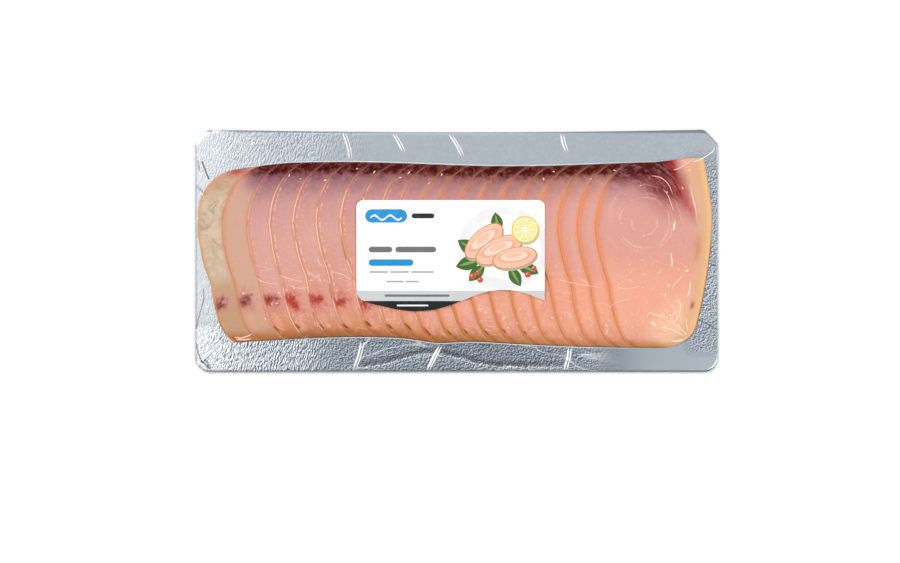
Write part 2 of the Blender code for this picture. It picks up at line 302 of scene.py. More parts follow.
def plate_mesh(x, y, top, rings):
    """A closed plate: a relief over a grid, then rings of (outward, z) round its edge, then a flat back."""
    index = np.arange(x.size).reshape(x.shape)
    vertices = [np.stack((x.ravel(), y.ravel(), top.ravel()), axis=1)]
    faces = grid_faces(index)
    rim = grid_rim(index)
    edge = vertices[0][rim]
    along = np.roll(edge, -1, axis=0) - np.roll(edge, 1, axis=0)
    outward = np.stack((along[:, 1], -along[:, 0]), axis=1)
    outward /= np.linalg.norm(outward, axis=1, keepdims=True)
    count = x.size
    upper = rim
    for out, z in rings:
        ring = edge.copy()
        ring[:, :2] += outward * out
        ring[:, 2] = z
        lower = np.arange(count, count + len(rim))
        vertices.append(ring)
        faces += strip_faces(upper, lower)
        upper = lower
        count += len(rim)
    faces.append(upper[::-1].tolist())
    return np.concatenate(vertices), faces


def pack_grid(inset, step):
    """Points over the pack's outline, `inset` inside it: cut corners and a bowed far edge."""
    half_length = HALF_LENGTH - inset
    half_width = HALF_WIDTH - inset
    rows = round(2.0 * half_width / step)
    reach = half_length - CORNER
    quarter = np.sin(np.linspace(0.0, math.pi / 2.0, round(1.6 * CORNER / step) + 2))
    middle = np.linspace(-reach, reach, round(2.0 * reach / step) + 1)
    x = np.concatenate((-reach - CORNER * quarter[:0:-1], middle, reach + CORNER * quarter[1:]))
    into = np.clip((np.abs(x) - reach) / CORNER, 0.0, 1.0)
    share = np.clip(np.abs(x) / reach, 0.0, 1.0)
    far = half_width - WAIST * (1.0 - share * share) - CORNER * into**FAR_CORNER_POWER
    near = -half_width + CORNER * quarter_round(into)
    t = np.linspace(0.0, 1.0, rows + 1)
    return np.repeat(x[:, None], rows + 1, axis=1), near[:, None] + (far - near)[:, None] * t[None, :]


# The film's height over the whole pack, as a field on a square raster


class Field:
    """Heights on a square raster over the pack, read between its points."""

    def __init__(self, heights):
        self.heights = heights

    @staticmethod
    def raster():
        x = np.arange(-HALF_LENGTH - 2 * MM, HALF_LENGTH + 2 * MM, FIELD_STEP)
        y = np.arange(-HALF_WIDTH - 2 * MM, HALF_WIDTH + 2 * MM, FIELD_STEP)
        return np.meshgrid(x, y, indexing="ij")

    def read(self, x, y):
        i = np.clip((np.asarray(x) + HALF_LENGTH + 2 * MM) / FIELD_STEP, 0, self.heights.shape[0] - 1.001)
        j = np.clip((np.asarray(y) + HALF_WIDTH + 2 * MM) / FIELD_STEP, 0, self.heights.shape[1] - 1.001)
        i0, j0 = i.astype(int), j.astype(int)
        fi, fj = i - i0, j - j0
        h = self.heights
        low = h[i0, j0] * (1 - fi) + h[i0 + 1, j0] * fi
        high = h[i0, j0 + 1] * (1 - fi) + h[i0 + 1, j0 + 1] * fi
        return low * (1 - fj) + high * fj


def smoothed(heights):
    padded = np.pad(heights, 1, mode="edge")
    rows = (padded[:-2] + 2.0 * padded[1:-1] + padded[2:]) / 4.0
    return (rows[:, :-2] + 2.0 * rows[:, 1:-1] + rows[:, 2:]) / 4.0


def drawn_down(base, rounds):
    """A skin pulled tight over a base: it smooths itself out but never sinks below."""
    skin = base
    for _ in range(rounds):
        skin = np.maximum(base, smoothed(skin))
    return skin


def slice_rounding(number, x, v):
    """Distance in from a slice's nearest edge, for points of the fan."""
    left = x - (NOSES[number] + left_offset(number, v))
    right = NOSES[number] + right_offset(v) - x
    width = far_side(x) - near_side(x)
    return np.minimum(np.minimum(left, right), np.minimum(v, 1.0 - v) * width)


def pile_heights(edge_round):
    """Height of the top of the pile of slices over the raster, and of the card round it."""
    x, y = Field.raster()
    v = v_at(x, y)
    top = np.full(x.shape, CARD_HIGH.z)
    for number in range(SLICES):
        inside = slice_rounding(number, x, v)
        where = inside > 0.0
        xs, vs = x[where], v[where]
        missing = (layer_height(vs) - SLICE_GAP) * rounding(inside[where], edge_round)
        z = topside(number, xs, vs) - EDGE_DROP * missing
        top[where] = np.maximum(top[where], z)
    return top


# Materials


class Value:
    """What a node tree works out at each point: a sum, a product or a ramp of values is one too."""

    def __init__(self, graph, socket):
        self.graph = graph
        self.socket = socket

    def __add__(self, other):
        return self.graph.maths("ADD", self, other)

    def __radd__(self, other):
        return self.graph.maths("ADD", other, self)

    def __sub__(self, other):
        return self.graph.maths("SUBTRACT", self, other)

    def __rsub__(self, other):
        return self.graph.maths("SUBTRACT", other, self)

    def __mul__(self, other):
        return self.graph.maths("MULTIPLY", self, other)

    def ramp(self, start, end, low=0.0, high=1.0):
        """A smooth change from `low` to `high` while this goes from start to end."""
        inputs = dict(enumerate((self, start, end, low, high)))
        return self.graph.make("MapRange", inputs, interpolation_type="SMOOTHSTEP")

    def near(self, middle, width):
        """Shorthand for a narrow line: 1 within a third of `width` of the middle, 0 beyond `width`."""
        return self.graph.maths("ABSOLUTE", self - middle).ramp(width, width / 3.0)

    def bell(self, middle, width):
        """1 at the middle, fading to 0 at `width` either side."""
        return self.graph.maths("ABSOLUTE", self - middle).ramp(width, 0.0)

    def jitter(self, noise, amount):
        """This made uneven by a noise."""
        return self + (noise - 0.5) * amount


class Graph:
    """A short way to write the node tree of a material or a world as expressions."""

    def __init__(self, owner):
        owner.use_nodes = True
        self.owner = owner
        self.tree = owner.node_tree
        self.shader = self.tree.nodes.get("Principled BSDF")

    def put(self, socket, value):
        if isinstance(value, Value):
            self.tree.links.new(value.socket, socket)
        else:
            socket.default_value = value

    def make(self, kind, inputs, output=0, **settings):
        """A new node with its inputs filled, by number or by name, as the value of one of its outputs."""
        made = self.tree.nodes.new("ShaderNode" + kind)
        for key, value in settings.items():
            setattr(made, key, value)
        for key, value in inputs.items():
            self.put(made.inputs[key], value)
        return Value(self, made.outputs[output])

    def maths(self, operation, *values, clamp=False):
        return self.make("Math", dict(enumerate(values)), operation=operation, use_clamp=clamp)

    def most(self, a, b):
        return self.maths("MAXIMUM", a, b)

    def distance(self, over, up):
        return self.maths("SQRT", over * over + up * up)

    def stroke(self, x, y, start, end, width):
        """A straight stroke between two points: 1 within a third of `width` of it, 0 beyond `width`."""
        run, rise = end[0] - start[0], end[1] - start[1]
        reach = run * run + rise * rise
        over, up = x - start[0], y - start[1]
        share = over * (run / reach) + up * (rise / reach)
        share = self.maths("ADD", share, 0.0, clamp=True)
        return self.distance(over - share * run, up - share * rise).ramp(width, width / 3.0)

    def attribute(self, name):
        return self.make("Attribute", {}, "Fac", attribute_name=name)

    def vector(self, x, y, z=0.0):
        return self.make("CombineXYZ", {0: x, 1: y, 2: z})

    def split(self, vector):
        """The x, y and z of a vector."""
        return [Value(self, axis) for axis in self.make("SeparateXYZ", {0: vector}).socket.node.outputs]

    def place(self):
        """The point's place in the pack, in millimetres, as a vector and as x, y and z."""
        here = self.make("TexCoord", {}, "Object")
        scaled = self.make("VectorMath", {0: here, "Scale": 1.0 / MM}, operation="SCALE")
        return scaled, *self.split(scaled)

    def stretched(self, vector, scale):
        return self.make("VectorMath", {0: vector, 1: scale}, operation="MULTIPLY")

    def moved(self, vector, shift):
        return self.make("VectorMath", {0: vector, 1: shift}, operation="ADD")

    def noise(self, vector, scale, detail=3.0, roughness=0.5, distortion=0.0):
        inputs = {"Vector": vector, "Scale": scale, "Detail": detail, "Roughness": roughness}
        return self.make("TexNoise", inputs | {"Distortion": distortion}, "Fac")

    def relief(self, vector, shift, scale, detail):
        """A noise's slope along a shift, about 0.5: the light and dark sides of its bumps."""
        here = self.noise(vector, scale, detail, 0.5, 0.4)
        there = self.noise(self.moved(vector, shift), scale, detail, 0.5, 0.4)
        return 0.5 + (here - there)

    def blend(self, share, first, second):
        tones = [tone if isinstance(tone, Value) else (*tone, 1.0) for tone in (first, second)]
        return self.make("Mix", {0: share, 6: tones[0], 7: tones[1]}, 2, data_type="RGBA")

    def coats(self, tone, *layers):
        """A tone under layers of others, each given as its share and its tone."""
        for share, other in layers:
            tone = self.blend(share, tone, other)
        return tone

    def bump(self, height, distance, strength=1.0):
        return self.make("Bump", {"Height": height, "Distance": distance, "Strength": strength}, "Normal")

    def finish(self, **sockets):
        """Fills the shader's sockets, written in small letters, and hands over the material."""
        for name, value in sockets.items():
            self.put(self.shader.inputs[name.replace("_", " ").title().replace("Ior", "IOR")], value)
        return self.owner


def new_graph(name):
    return Graph(bpy.data.materials.new(name))


def colour(name, description, default):
    return FloatVectorProperty(
        name=name, description=description, subtype="COLOR", size=3, min=0.0, max=1.0, default=default
    )


def number(name, description, default, largest, **kind):
    return FloatProperty(name=name, description=description, default=default, min=0.0, max=largest, **kind)


def length(name, description, default, largest=0.01):
    return number(name, description, default, largest, subtype="DISTANCE", unit="LENGTH")


# Slices


class PACK_PG_fish(bpy.types.PropertyGroup):
    """Colours and cut of the fish."""

    flesh: colour("Flesh", "Flesh in the middle of a slice", (0.700, 0.350, 0.290))
    salmon: colour("Lower flesh", "Flesh towards the near end of a slice", (0.735, 0.305, 0.190))
    septum: colour("Septa", "Pale skins between the layers of muscle", (0.93, 0.62, 0.52))
    mauve: colour("Mauve flesh", "Flesh beside the dark muscle", (0.245, 0.098, 0.125))
    dark_muscle: colour("Dark muscle", "Maroon muscle along the far side", (0.062, 0.002, 0.002))
    red_muscle: colour("Red muscle", "Where the dark muscle thins out", (0.42, 0.045, 0.035))
    blood: colour("Blood", "Small red spots", (0.42, 0.032, 0.024))
    crust: colour("Crust", "Smoked rim along a slice's cut edge", (0.60, 0.195, 0.085))
    # Painted highlights: the pale line along a slice's cut edge, and small glints over the flesh
    glint: colour("Edge glint", "Painted highlight line along a slice's cut edge", (0.97, 0.68, 0.58))
    brown: colour("Brown rim", "Smoked rim along a slice's near end", (0.40, 0.135, 0.036))
    tan: colour("Tan", "Skin side of the first slice", (0.555, 0.425, 0.300))
    stain: colour("Stain", "Greyish stains on the first slice", (0.40, 0.32, 0.22))
    cream: colour("Cream", "Pale fat along the back of the last slice", (0.740, 0.430, 0.258))
    yellow_fat: colour("Yellow fat", "Outer rim of the pale fat", (0.85, 0.53, 0.23))
    edge_round: length("Edge rounding", "Radius of a slice's cut edge", 1.2 * MM)


def slice_shares(columns):
    """Columns across a slice, from 0 to 1, crowded at both edges."""
    t = np.linspace(0.0, 1.0, columns + 1)
    crowded = 0.5 - 0.5 * np.cos(math.pi * t)
    return 0.12 * t + 0.88 * crowded


def slice_mesh(number, edge_round):
    """One limp slice with rounded edges, and where each of its points lies on it."""
    columns = LAST_SLICE_COLUMNS if number == LAST else SLICE_COLUMNS
    t = np.linspace(0.0, 1.0, SLICE_ROWS + 1)
    v = (0.4 * t + 0.6 * (0.5 - 0.5 * np.cos(math.pi * t)))[None, :]
    share = slice_shares(columns)[:, None]
    left = NOSES[number] + left_offset(number, v)
    right = NOSES[number] + right_offset(v)
    x = left + share * (right - left)
    v = np.repeat(v, columns + 1, axis=0)
    y = across(x, v)
    inside = np.maximum(slice_rounding(number, x, v), 0.0)
    missing = (layer_height(v) - SLICE_GAP) * rounding(inside, edge_round)
    top = topside(number, x, v) - EDGE_DROP * missing
    bottom = underside(number, x, v) + (1.0 - EDGE_DROP) * missing
    index = np.arange(x.size).reshape(x.shape)
    under = index.copy()
    inner = np.arange((columns - 1) * (SLICE_ROWS - 1)).reshape(columns - 1, SLICE_ROWS - 1)
    under[1:-1, 1:-1] = x.size + inner
    upper = np.stack((x.ravel(), y.ravel(), top.ravel()), axis=1)
    middle = [values[1:-1, 1:-1].ravel() for values in (x, y, bottom)]
    vertices = np.concatenate((upper, np.stack(middle, axis=1)))
    faces = grid_faces(index) + grid_faces(under, flip=True)
    if number < LAST:
        to_next = NOSES[number + 1] + left_offset(number + 1, v) - x
    else:
        to_next = np.full(x.shape, SLICE_LENGTH)
    marks = {
        "from_left": (x - left) / MM,
        "from_right": (right - x) / MM,
        "to_next": to_next / MM,
        "from_near": (y - near_side(x)) / MM,
        "from_far": (far_side(x) - y) / MM,
        "from_nose": (x - NOSES[number]) / MM,
        "slice": np.full(x.shape, number + 1.0),
    }
    spread = {}
    for name, values in marks.items():
        spread[name] = np.concatenate((values.ravel(), values[1:-1, 1:-1].ravel()))
    return vertices, faces, spread


# Tones of single coats of the fish, in about the order that they are laid
EDGE_BLUSH = (0.735, 0.385, 0.360)
NEXT_EDGE_HAZE = (0.700, 0.415, 0.325)
LEFT_DUSK = (0.595, 0.335, 0.283)
PALE_FLECKS = (0.860, 0.540, 0.460)
DARK_FLECKS = (0.500, 0.245, 0.215)
FAR_LEFT_GREY = (0.590, 0.370, 0.340)
RIGHT_SALMON = (0.840, 0.385, 0.262)
NEAR_AMBER_AND_SHADE = (0.675, 0.285, 0.148)
NEAR_RUST_AND_SHADE = (0.570, 0.210, 0.076)
MIDDLE_PINK = (0.860, 0.430, 0.330)
LEFT_CORNER_RUST = (0.600, 0.225, 0.130)
FRESH_CUT = (0.820, 0.410, 0.285)
PALE_SMEAR = (0.900, 0.500, 0.330)
DARK_SMEAR = (0.560, 0.200, 0.100)
CRINKLE_HIGHLIGHT = (0.970, 0.680, 0.550)
LILAC = (0.440, 0.225, 0.255)
RIGHT_MAUVE = (0.300, 0.125, 0.112)
MUSCLE_FRINGE = (0.130, 0.014, 0.016)
MUSCLE_MOTTLE = (0.300, 0.085, 0.055)
OLD_BLOOD = (0.215, 0.030, 0.030)
OLD_HALO = (0.500, 0.205, 0.190)
FRESH_HALO = (0.680, 0.200, 0.155)
PALE_TAN = (0.600, 0.455, 0.325)
TAN_BLOTCH = (0.660, 0.550, 0.420)
LOW_TAN = (0.500, 0.295, 0.175)
FAR_TAN = (0.530, 0.285, 0.155)
GOLD_TAN = (0.620, 0.420, 0.170)
SECOND_TAN = (0.585, 0.370, 0.255)
DARK_LOW_EDGE = (0.130, 0.055, 0.020)
RIGHT_BROWN = (0.580, 0.235, 0.075)
TAIL_BROWN = (0.420, 0.130, 0.027)
COMMA_HALO = (0.460, 0.145, 0.034)
COMMA_DARK = (0.275, 0.050, 0.002)
SEAM_SHADE = (0.700, 0.320, 0.185)
SEAM_GLOW = (1.000, 0.460, 0.240)
LEFT_CRUST = (0.530, 0.215, 0.115)
RIGHT_CRUST = (0.800, 0.290, 0.120)
LOW_CRUST = (0.660, 0.230, 0.060)
EARLY_CRUST = (0.720, 0.270, 0.120)
FIRST_CRUST = (0.620, 0.340, 0.130)
FAR_CRUST = (0.500, 0.245, 0.165)
DARK_CRUST = (0.300, 0.095, 0.075)
TOP_PINK = (0.840, 0.425, 0.315)
TOP_LILAC = (0.480, 0.245, 0.260)
TOP_CLARET = (0.420, 0.115, 0.115)
TOP_MAUVE = (0.200, 0.045, 0.048)
TOP_MAROON = (0.185, 0.022, 0.024)
TOP_MUSCLE = (0.070, 0.003, 0.004)
ROSY_BAND = (0.420, 0.048, 0.050)
ROSY_FLECKS = (0.200, 0.008, 0.010)
ROSY_STREAKS = (0.700, 0.360, 0.350)
PALE_FAN = (0.880, 0.560, 0.365)
FAN_CREASE_HIGHLIGHT = (0.960, 0.700, 0.520)
PINK_TOP = (0.860, 0.420, 0.330)
RED_APEX = (0.420, 0.020, 0.016)
GOLDEN_RIM = (0.860, 0.420, 0.110)
BACK_SMEAR = (0.620, 0.220, 0.080)
LOW_SPOT = (0.360, 0.100, 0.050)
BACK_LINE = (0.960, 0.720, 0.580)
WHORL_MIDDLE = (107.0, 16.1)  # mm of x and y: a small whorl on the top slice
# Its pale rings: radius and thickness in millimetres, and how pale
WHORL_RINGS = [(7.4, 0.55, 0.42), (14.5, 0.7, 0.30), (16.6, 0.5, 0.20), (21.5, 0.6, 0.16)]
RING_MIDDLE = (14.0, 13.8)  # mm along from the nose, and mm of y: where a slice's muscle rings centre


class FishLooks:
    """The colours of a slice, one layer of paint over another."""

    def __init__(self, settings, name, last):
        self.settings = settings
        self.last = last
        self.g = g = new_graph(name)
        spot, self.x, self.y, _ = g.place()
        for mark in ("from_left", "from_right", "to_next", "from_near", "from_far", "from_nose", "slice"):
            setattr(self, mark, g.attribute(mark))
        drift = g.vector(0.0, 0.0, self.slice * 17.0)
        self.own = g.moved(spot, drift)  # its noise differs from one slice to the next
        self.patches = g.noise(self.own, 0.06, 3.0)
        self.flecks = g.noise(self.own, 0.75, 4.0, 0.6)
        self.ragged = g.noise(self.own, 0.30, 4.0, 0.62)
        self.skin = None

    def paint(self, share, tone):
        self.skin = self.g.blend(share, self.skin, tone)

    def polar(self):
        """Distance and direction of a point from the middle of its slice's muscle rings."""
        g = self.g
        across = self.from_nose - RING_MIDDLE[0]
        up = (self.y - RING_MIDDLE[1]) * 0.95
        radius = g.distance(across, up)
        return radius, g.maths("ARCTAN2", up, across)

    def flesh(self):
        """Pink in the middle, warmer towards the near end and behind the cut edge, finely mottled."""
        g = self.g
        settings = self.settings
        warm = self.y.jitter(self.patches, 26.0).ramp(12.0, -42.0)
        self.skin = g.blend(warm, settings.flesh, settings.salmon)
        behind_edge = self.from_left.jitter(self.ragged, 3.0).ramp(7.0, 0.8)
        self.paint(behind_edge * 0.55, settings.salmon)
        self.paint(self.from_left.bell(8.5, 5.0) * self.patches.ramp(0.38, 0.6) * 0.55, EDGE_BLUSH)
        self.paint(self.to_next.jitter(self.ragged, 4.0).ramp(6.0, 0.8) * 0.42, NEXT_EDGE_HAZE)
        self.paint(self.flecks.ramp(0.52, 0.82) * 0.28, settings.septum)
        # Painted highlights: small glints over the flesh, and a faint line beside the next slice's edge
        glint_dots = g.noise(self.own, 0.85, 1.0, 0.4).ramp(0.735, 0.8)
        self.paint(glint_dots * 0.55, settings.glint)
        self.paint(self.to_next.ramp(1.6, 0.3) * 0.24, settings.glint)
        # Duller and more flecked towards the left of the fan, more salmon towards the right
        left_hand = self.x.ramp(-20.0, -90.0)
        self.paint(left_hand * 0.5, LEFT_DUSK)
        self.paint(self.flecks.ramp(0.54, 0.74) * left_hand * 0.26, PALE_FLECKS)
        self.paint(self.flecks.ramp(0.46, 0.3) * left_hand * 0.3, DARK_FLECKS)
        self.paint(self.x.ramp(-88.0, -108.0) * 0.2, FAR_LEFT_GREY)
        right_hand = self.x.ramp(0.0, 70.0)
        self.paint(right_hand * self.y.ramp(-6.0, -24.0) * 0.85, RIGHT_SALMON)
        # Amber, then rust, towards the near end: the smoked rim's own colour, with painted shade where the
        # slices curve down to it
        edge = self.from_near.jitter(self.patches, 6.0) + self.x.ramp(108.0, 124.0, 0.0, 12.0)
        lighter = self.x.ramp(-45.0, 45.0)
        self.paint(edge.ramp(15.0, 7.0) * lighter.ramp(0.0, 1.0, 0.7, 0.3), NEAR_AMBER_AND_SHADE)
        self.paint(edge.ramp(9.5, 3.5) * lighter.ramp(0.0, 1.0, 0.75, 0.42), NEAR_RUST_AND_SHADE)
        self.paint(
            self.x.bell(12.0, 42.0) * self.y.ramp(-22.0, -30.0) * edge.ramp(9.0, 17.0) * 0.5,
            MIDDLE_PINK,
        )
        corner = self.y.jitter(self.patches, 12.0).ramp(-26.0, -36.0) * self.x.ramp(-60.0, -100.0)
        self.paint(corner * 0.5, LEFT_CORNER_RUST)
        # A fresher strip behind the low end of the cut edge, and smears over the lower flesh
        fresh = self.from_left.jitter(self.ragged, 3.0).bell(4.8, 3.4) * self.from_near.ramp(3.0, 6.5)
        self.paint(fresh * self.from_near.ramp(17.0, 11.0) * 0.42, FRESH_CUT)
        smears = g.noise(g.stretched(self.own, (1.0, 0.42, 1.0)), 0.42, 2.0, 0.6, 0.6)
        low = self.y.ramp(-24.0, -38.0) * self.slice.ramp(2.5, 4.0)
        self.paint(smears.ramp(0.52, 0.66) * low * 0.42, PALE_SMEAR)
        self.paint(smears.ramp(0.44, 0.32) * low * 0.3, DARK_SMEAR)

    def rings(self):
        """Thin pale septa on rings round the slice's middle, closer together further out."""
        g = self.g
        radius, _ = self.polar()
        bent = radius.jitter(g.noise(self.own, 0.045, 2.0), 13.0).jitter(self.ragged, 1.6)
        fading = g.noise(g.stretched(self.own, (0.5, 1.0, 1.0)), 0.19, 1.0).ramp(0.46, 0.64)
        total = None
        upper, lower = self.y.ramp(-8.0, 4.0), self.y.ramp(0.0, -12.0)
        for spacing, width, inner, half in ((5.4, 0.40, 15.0, upper), (4.6, 0.36, 18.0, lower)):
            phase = g.maths("FRACT", bent * (1.0 / spacing))
            line = g.maths("ABSOLUTE", phase - 0.5).ramp(width / spacing, 0.0)
            where = radius.ramp(inner, inner + 4.0) * radius.ramp(50.0, 41.0) * half
            line = line * where * fading
            total = line if total is None else g.most(total, line)
        self.septa = total * self.from_left.ramp(0.8, 2.4) * self.from_near.ramp(1.5, 4.0)
        self.paint(self.septa * self.from_nose.ramp(16.0, 30.0, 0.42, 0.18), self.settings.septum)
        self.crinkle_highlights()

    def crinkle_highlights(self):
        """Painted highlights of fine crinkles in the film, which wander over the lower flesh and the near
        rim.
        """
        g = self.g
        lean = 0.14 if self.last else 0.24
        leaning = g.vector(self.x * 0.24 + self.y * -0.08, self.y + self.x * lean, self.slice * 2.3)
        hills = g.noise(leaning, 0.115, 2.0, 0.42, 0.3)
        phase = g.maths("FRACT", hills * 9.0)
        line = phase.near(0.5, 0.075)
        where = self.y.jitter(self.patches, 16.0).ramp(-3.0, -12.0) * self.from_near.ramp(2.0, 6.0)
        least = 0.36 if self.last else 0.44
        where = where * g.noise(self.own, 0.085, 2.0).ramp(least, least + 0.14)
        self.lines = line * where * self.flecks.ramp(0.36, 0.52)
        self.paint(self.lines * self.slice.ramp(1.5, 3.5, 0.35, 0.7), CRINKLE_HIGHLIGHT)

    def dark_side(self):
        """Mauve flesh, then maroon muscle, along the far side."""
        g = self.g
        settings = self.settings
        depth = self.from_far.jitter(self.ragged, 9.0)
        fine = depth.jitter(self.flecks, 3.0)
        start = self.x.ramp(-127.0, -113.0)
        lilac = depth.ramp(46.0, 10.0) * start * self.x.ramp(0.0, 90.0, 0.55, 0.14)
        self.paint(lilac, LILAC)
        share = depth.ramp(25.0, 4.5) * start
        mauve = g.blend(self.x.ramp(-60.0, 0.0), settings.mauve, RIGHT_MAUVE)
        self.paint(share * self.x.ramp(20.0, 90.0, 0.9, 0.66), mauve)
        fine = fine + self.x.ramp(-124.0, -104.0, 5.0, 0.0)
        muscle = fine.ramp(7.4, 3.6)
        ends = self.x.ramp(-128.0, -114.0) * self.x.ramp(126.0, 120.0)
        self.paint(fine.ramp(11.0, 4.0) * ends * 0.78, MUSCLE_FRINGE)
        self.paint(muscle * ends, settings.dark_muscle)
        mottled = g.noise(self.own, 0.3, 3.0, 0.65, 0.5).ramp(0.48, 0.66) * fine.ramp(9.0, 5.0) * ends
        self.paint(mottled * 0.42, MUSCLE_MOTTLE)
        self.dark = depth.ramp(18.0, 4.0) * ends
        self.red_end = self.x.bell(-126.0, 13.0) * self.from_far.jitter(self.flecks, 4.0).ramp(7.5, 1.5)
        self.paint(self.red_end * 0.85, settings.red_muscle)

    def blood_spots(self):
        """A dark red spot behind the cut edge, with streaks running out of it, on the first slices."""
        g = self.g
        run = (self.from_left - 2.3).jitter(self.ragged, 9.0)
        rise = (self.y + self.x.ramp(-142.0, -125.0, 32.0, 28.5)).jitter(self.patches, 16.0)
        angle = g.maths("ARCTAN2", rise, run)
        circle = g.vector(g.maths("COSINE", angle), g.maths("SINE", angle), self.slice * 3.7)
        streaks = g.noise(circle, 2.4, 3.0, 0.7)
        radius = g.maths("SQRT", run * run * 0.52 + rise * rise)
        far = radius.jitter(streaks, 4.5).jitter(self.ragged, 5.5)
        early = self.slice.ramp(9.5, 7.0)
        halo = far.ramp(11.0, 0.8) * early
        core = far.jitter(self.flecks, 5.0).ramp(6.2, 0.6) * early
        purple = self.slice.ramp(2.2, 4.4)
        tone = g.blend(purple, OLD_BLOOD, self.settings.blood)
        self.paint(halo * 0.66, g.blend(purple, OLD_HALO, FRESH_HALO))
        self.paint(core * 0.94, tone)
        self.spot = halo

    def first_slices(self):
        """The skin side of the first slice, and the tan second one."""
        g = self.g
        settings = self.settings
        first = self.slice.ramp(1.6, 1.4)
        second = self.slice.ramp(2.6, 2.4) * self.slice.ramp(1.4, 1.6)
        smudge = g.noise(self.own, 0.115, 2.0, 0.45, 1.6)
        edge = smudge.ramp(0.535, 0.56) * smudge.ramp(0.63, 0.595)
        tan = g.coats(
            settings.tan,
            (self.patches.ramp(0.35, 0.65), PALE_TAN),
            (edge * self.y.ramp(-6.0, 6.0) * 0.7, settings.stain),
            (smudge.ramp(0.44, 0.38) * 0.45, TAN_BLOTCH),
            (self.y.jitter(self.patches, 20.0).ramp(-8.0, -26.0) * 0.9, LOW_TAN),
            (self.from_far.ramp(20.0, 5.0) * 0.6, FAR_TAN),
            (self.from_left.ramp(3.0, 0.5) * 0.5, GOLD_TAN),
        )
        bare = g.maths("SUBTRACT", 1.0, g.most(self.spot, self.red_end), clamp=True)
        self.paint(first * bare, tan)
        self.paint(second * bare * self.from_far.ramp(9.0, 18.0) * 0.72, SECOND_TAN)
        # Darker along the low end of the first slice's left edge
        low_left = first * self.y.ramp(-22.0, -32.0) * self.from_left.ramp(1.4, 0.5)
        self.paint(low_left * 0.8, DARK_LOW_EDGE)

    def rims(self):
        """The painted glint and smoked line along the cut edge, the brown near rim and its dark flecks."""
        g = self.g
        settings = self.settings
        across = self.x.ramp(-20.0, 70.0)
        rim = self.from_near.jitter(self.ragged, 4.0).ramp(self.x.ramp(-110.0, -40.0, 8.5, 6.0), 0.8)
        rim = rim * self.x.ramp(124.0, 112.0, 0.25, 1.0)
        self.paint(rim * 0.85, g.blend(across, settings.brown, RIGHT_BROWN))
        tail = self.from_left.jitter(self.ragged, 3.0).ramp(6.0, 1.2) * self.from_near.ramp(6.0, 1.6)
        self.paint(tail * 0.8, TAIL_BROWN)
        # A dark comma where the cut edge meets the near rim
        place = 6.4 + (self.patches - 0.5) * 6.0
        leaning = self.from_left + (self.from_near - place) * 0.35
        comma = leaning.bell(1.5, 2.0) * self.from_near.bell(place, 2.6)
        comma = comma * self.x.ramp(60.0, 20.0) * self.slice.ramp(2.3, 2.7)
        self.paint(comma.ramp(0.02, 0.3) * 0.7, COMMA_HALO)
        self.paint(comma.ramp(0.22, 0.62) * 0.95, COMMA_DARK)
        # Where the cut edge glints, it stands a little further out
        beads = g.noise(self.own, 0.55, 3.0, 0.65)
        glinting = self.slice.ramp(2.5, 3.6) * self.slice.ramp(12.0, 7.5)
        glinting = glinting * g.noise(self.own, 0.1, 2.0).ramp(0.36, 0.52)
        glinting = glinting * g.most(self.from_near.ramp(6.0, 18.0), self.slice.ramp(7.0, 5.0))
        away = (self.from_left - glinting * 0.75).jitter(beads, 1.1)
        # The seam beside the next slice, then the smoked line itself, which changes along the fan
        right_hand = self.x.ramp(-55.0, 40.0)
        hidden = g.maths("SUBTRACT", 1.0, self.dark * 0.9, clamp=True)
        beside = self.to_next.ramp(3.2, 0.6) * hidden
        self.paint(beside * (0.2 + right_hand * 0.34), SEAM_SHADE)
        seam = self.to_next.ramp(0.75, 0.25) * hidden
        self.paint(
            seam * (0.35 + right_hand * 0.6) * self.from_near.ramp(3.0, 12.0, 0.15, 1.0), SEAM_GLOW
        )
        self.paint(away.ramp(3.2, 0.5) * hidden * (0.24 + right_hand * 0.26), settings.crust)
        low_seam = self.x.bell(0.0, 85.0) * self.y.ramp(-12.0, -26.0)
        width = self.slice.ramp(3.6, 2.4, 0.95, 1.6) + (right_hand * 0.75 + low_seam * 0.7)
        core = away.ramp(width, width * 0.5) * beads.ramp(0.3, 0.5, 0.55, 1.0)
        rusty = g.coats(
            LEFT_CRUST,
            (right_hand, settings.crust),
            (self.x.ramp(-45.0, 45.0) * 0.8, RIGHT_CRUST),
            (low_seam * 0.9, LOW_CRUST),
            (self.slice.ramp(3.6, 2.6) * 0.8, EARLY_CRUST),
            (self.slice.ramp(1.6, 1.4) * 0.8, FIRST_CRUST),
            (self.from_far.ramp(27.0, 12.0) * 0.55, FAR_CRUST),
            (self.dark, DARK_CRUST),
        )
        firm = g.most(0.62 + right_hand * 0.26, low_seam * 0.95)
        self.paint(core * firm * self.from_far.ramp(0.8, 3.0), rusty)
        pale = self.from_left.ramp(0.85, 0.4) * glinting * self.from_far.ramp(4.0, 26.0)
        self.paint(pale * 0.92, settings.glint)
        second = self.from_left.jitter(beads, 1.2).near(2.6, 0.6) * glinting * beads.ramp(0.46, 0.58)
        self.paint(second * self.from_far.ramp(5.0, 14.0) * 0.42, settings.glint)

    def top_slice(self):
        """What only the top slice shows: the dark muscle's end, and the pale fatty back."""
        g = self.g
        settings = self.settings
        self.paint(self.y.ramp(8.0, -20.0) * 0.55, TOP_PINK)
        radius, angle = self.polar()
        swirl = g.noise(g.vector(radius.jitter(self.ragged, 5.0), angle * 5.0), 0.75, 3.0, 0.65)
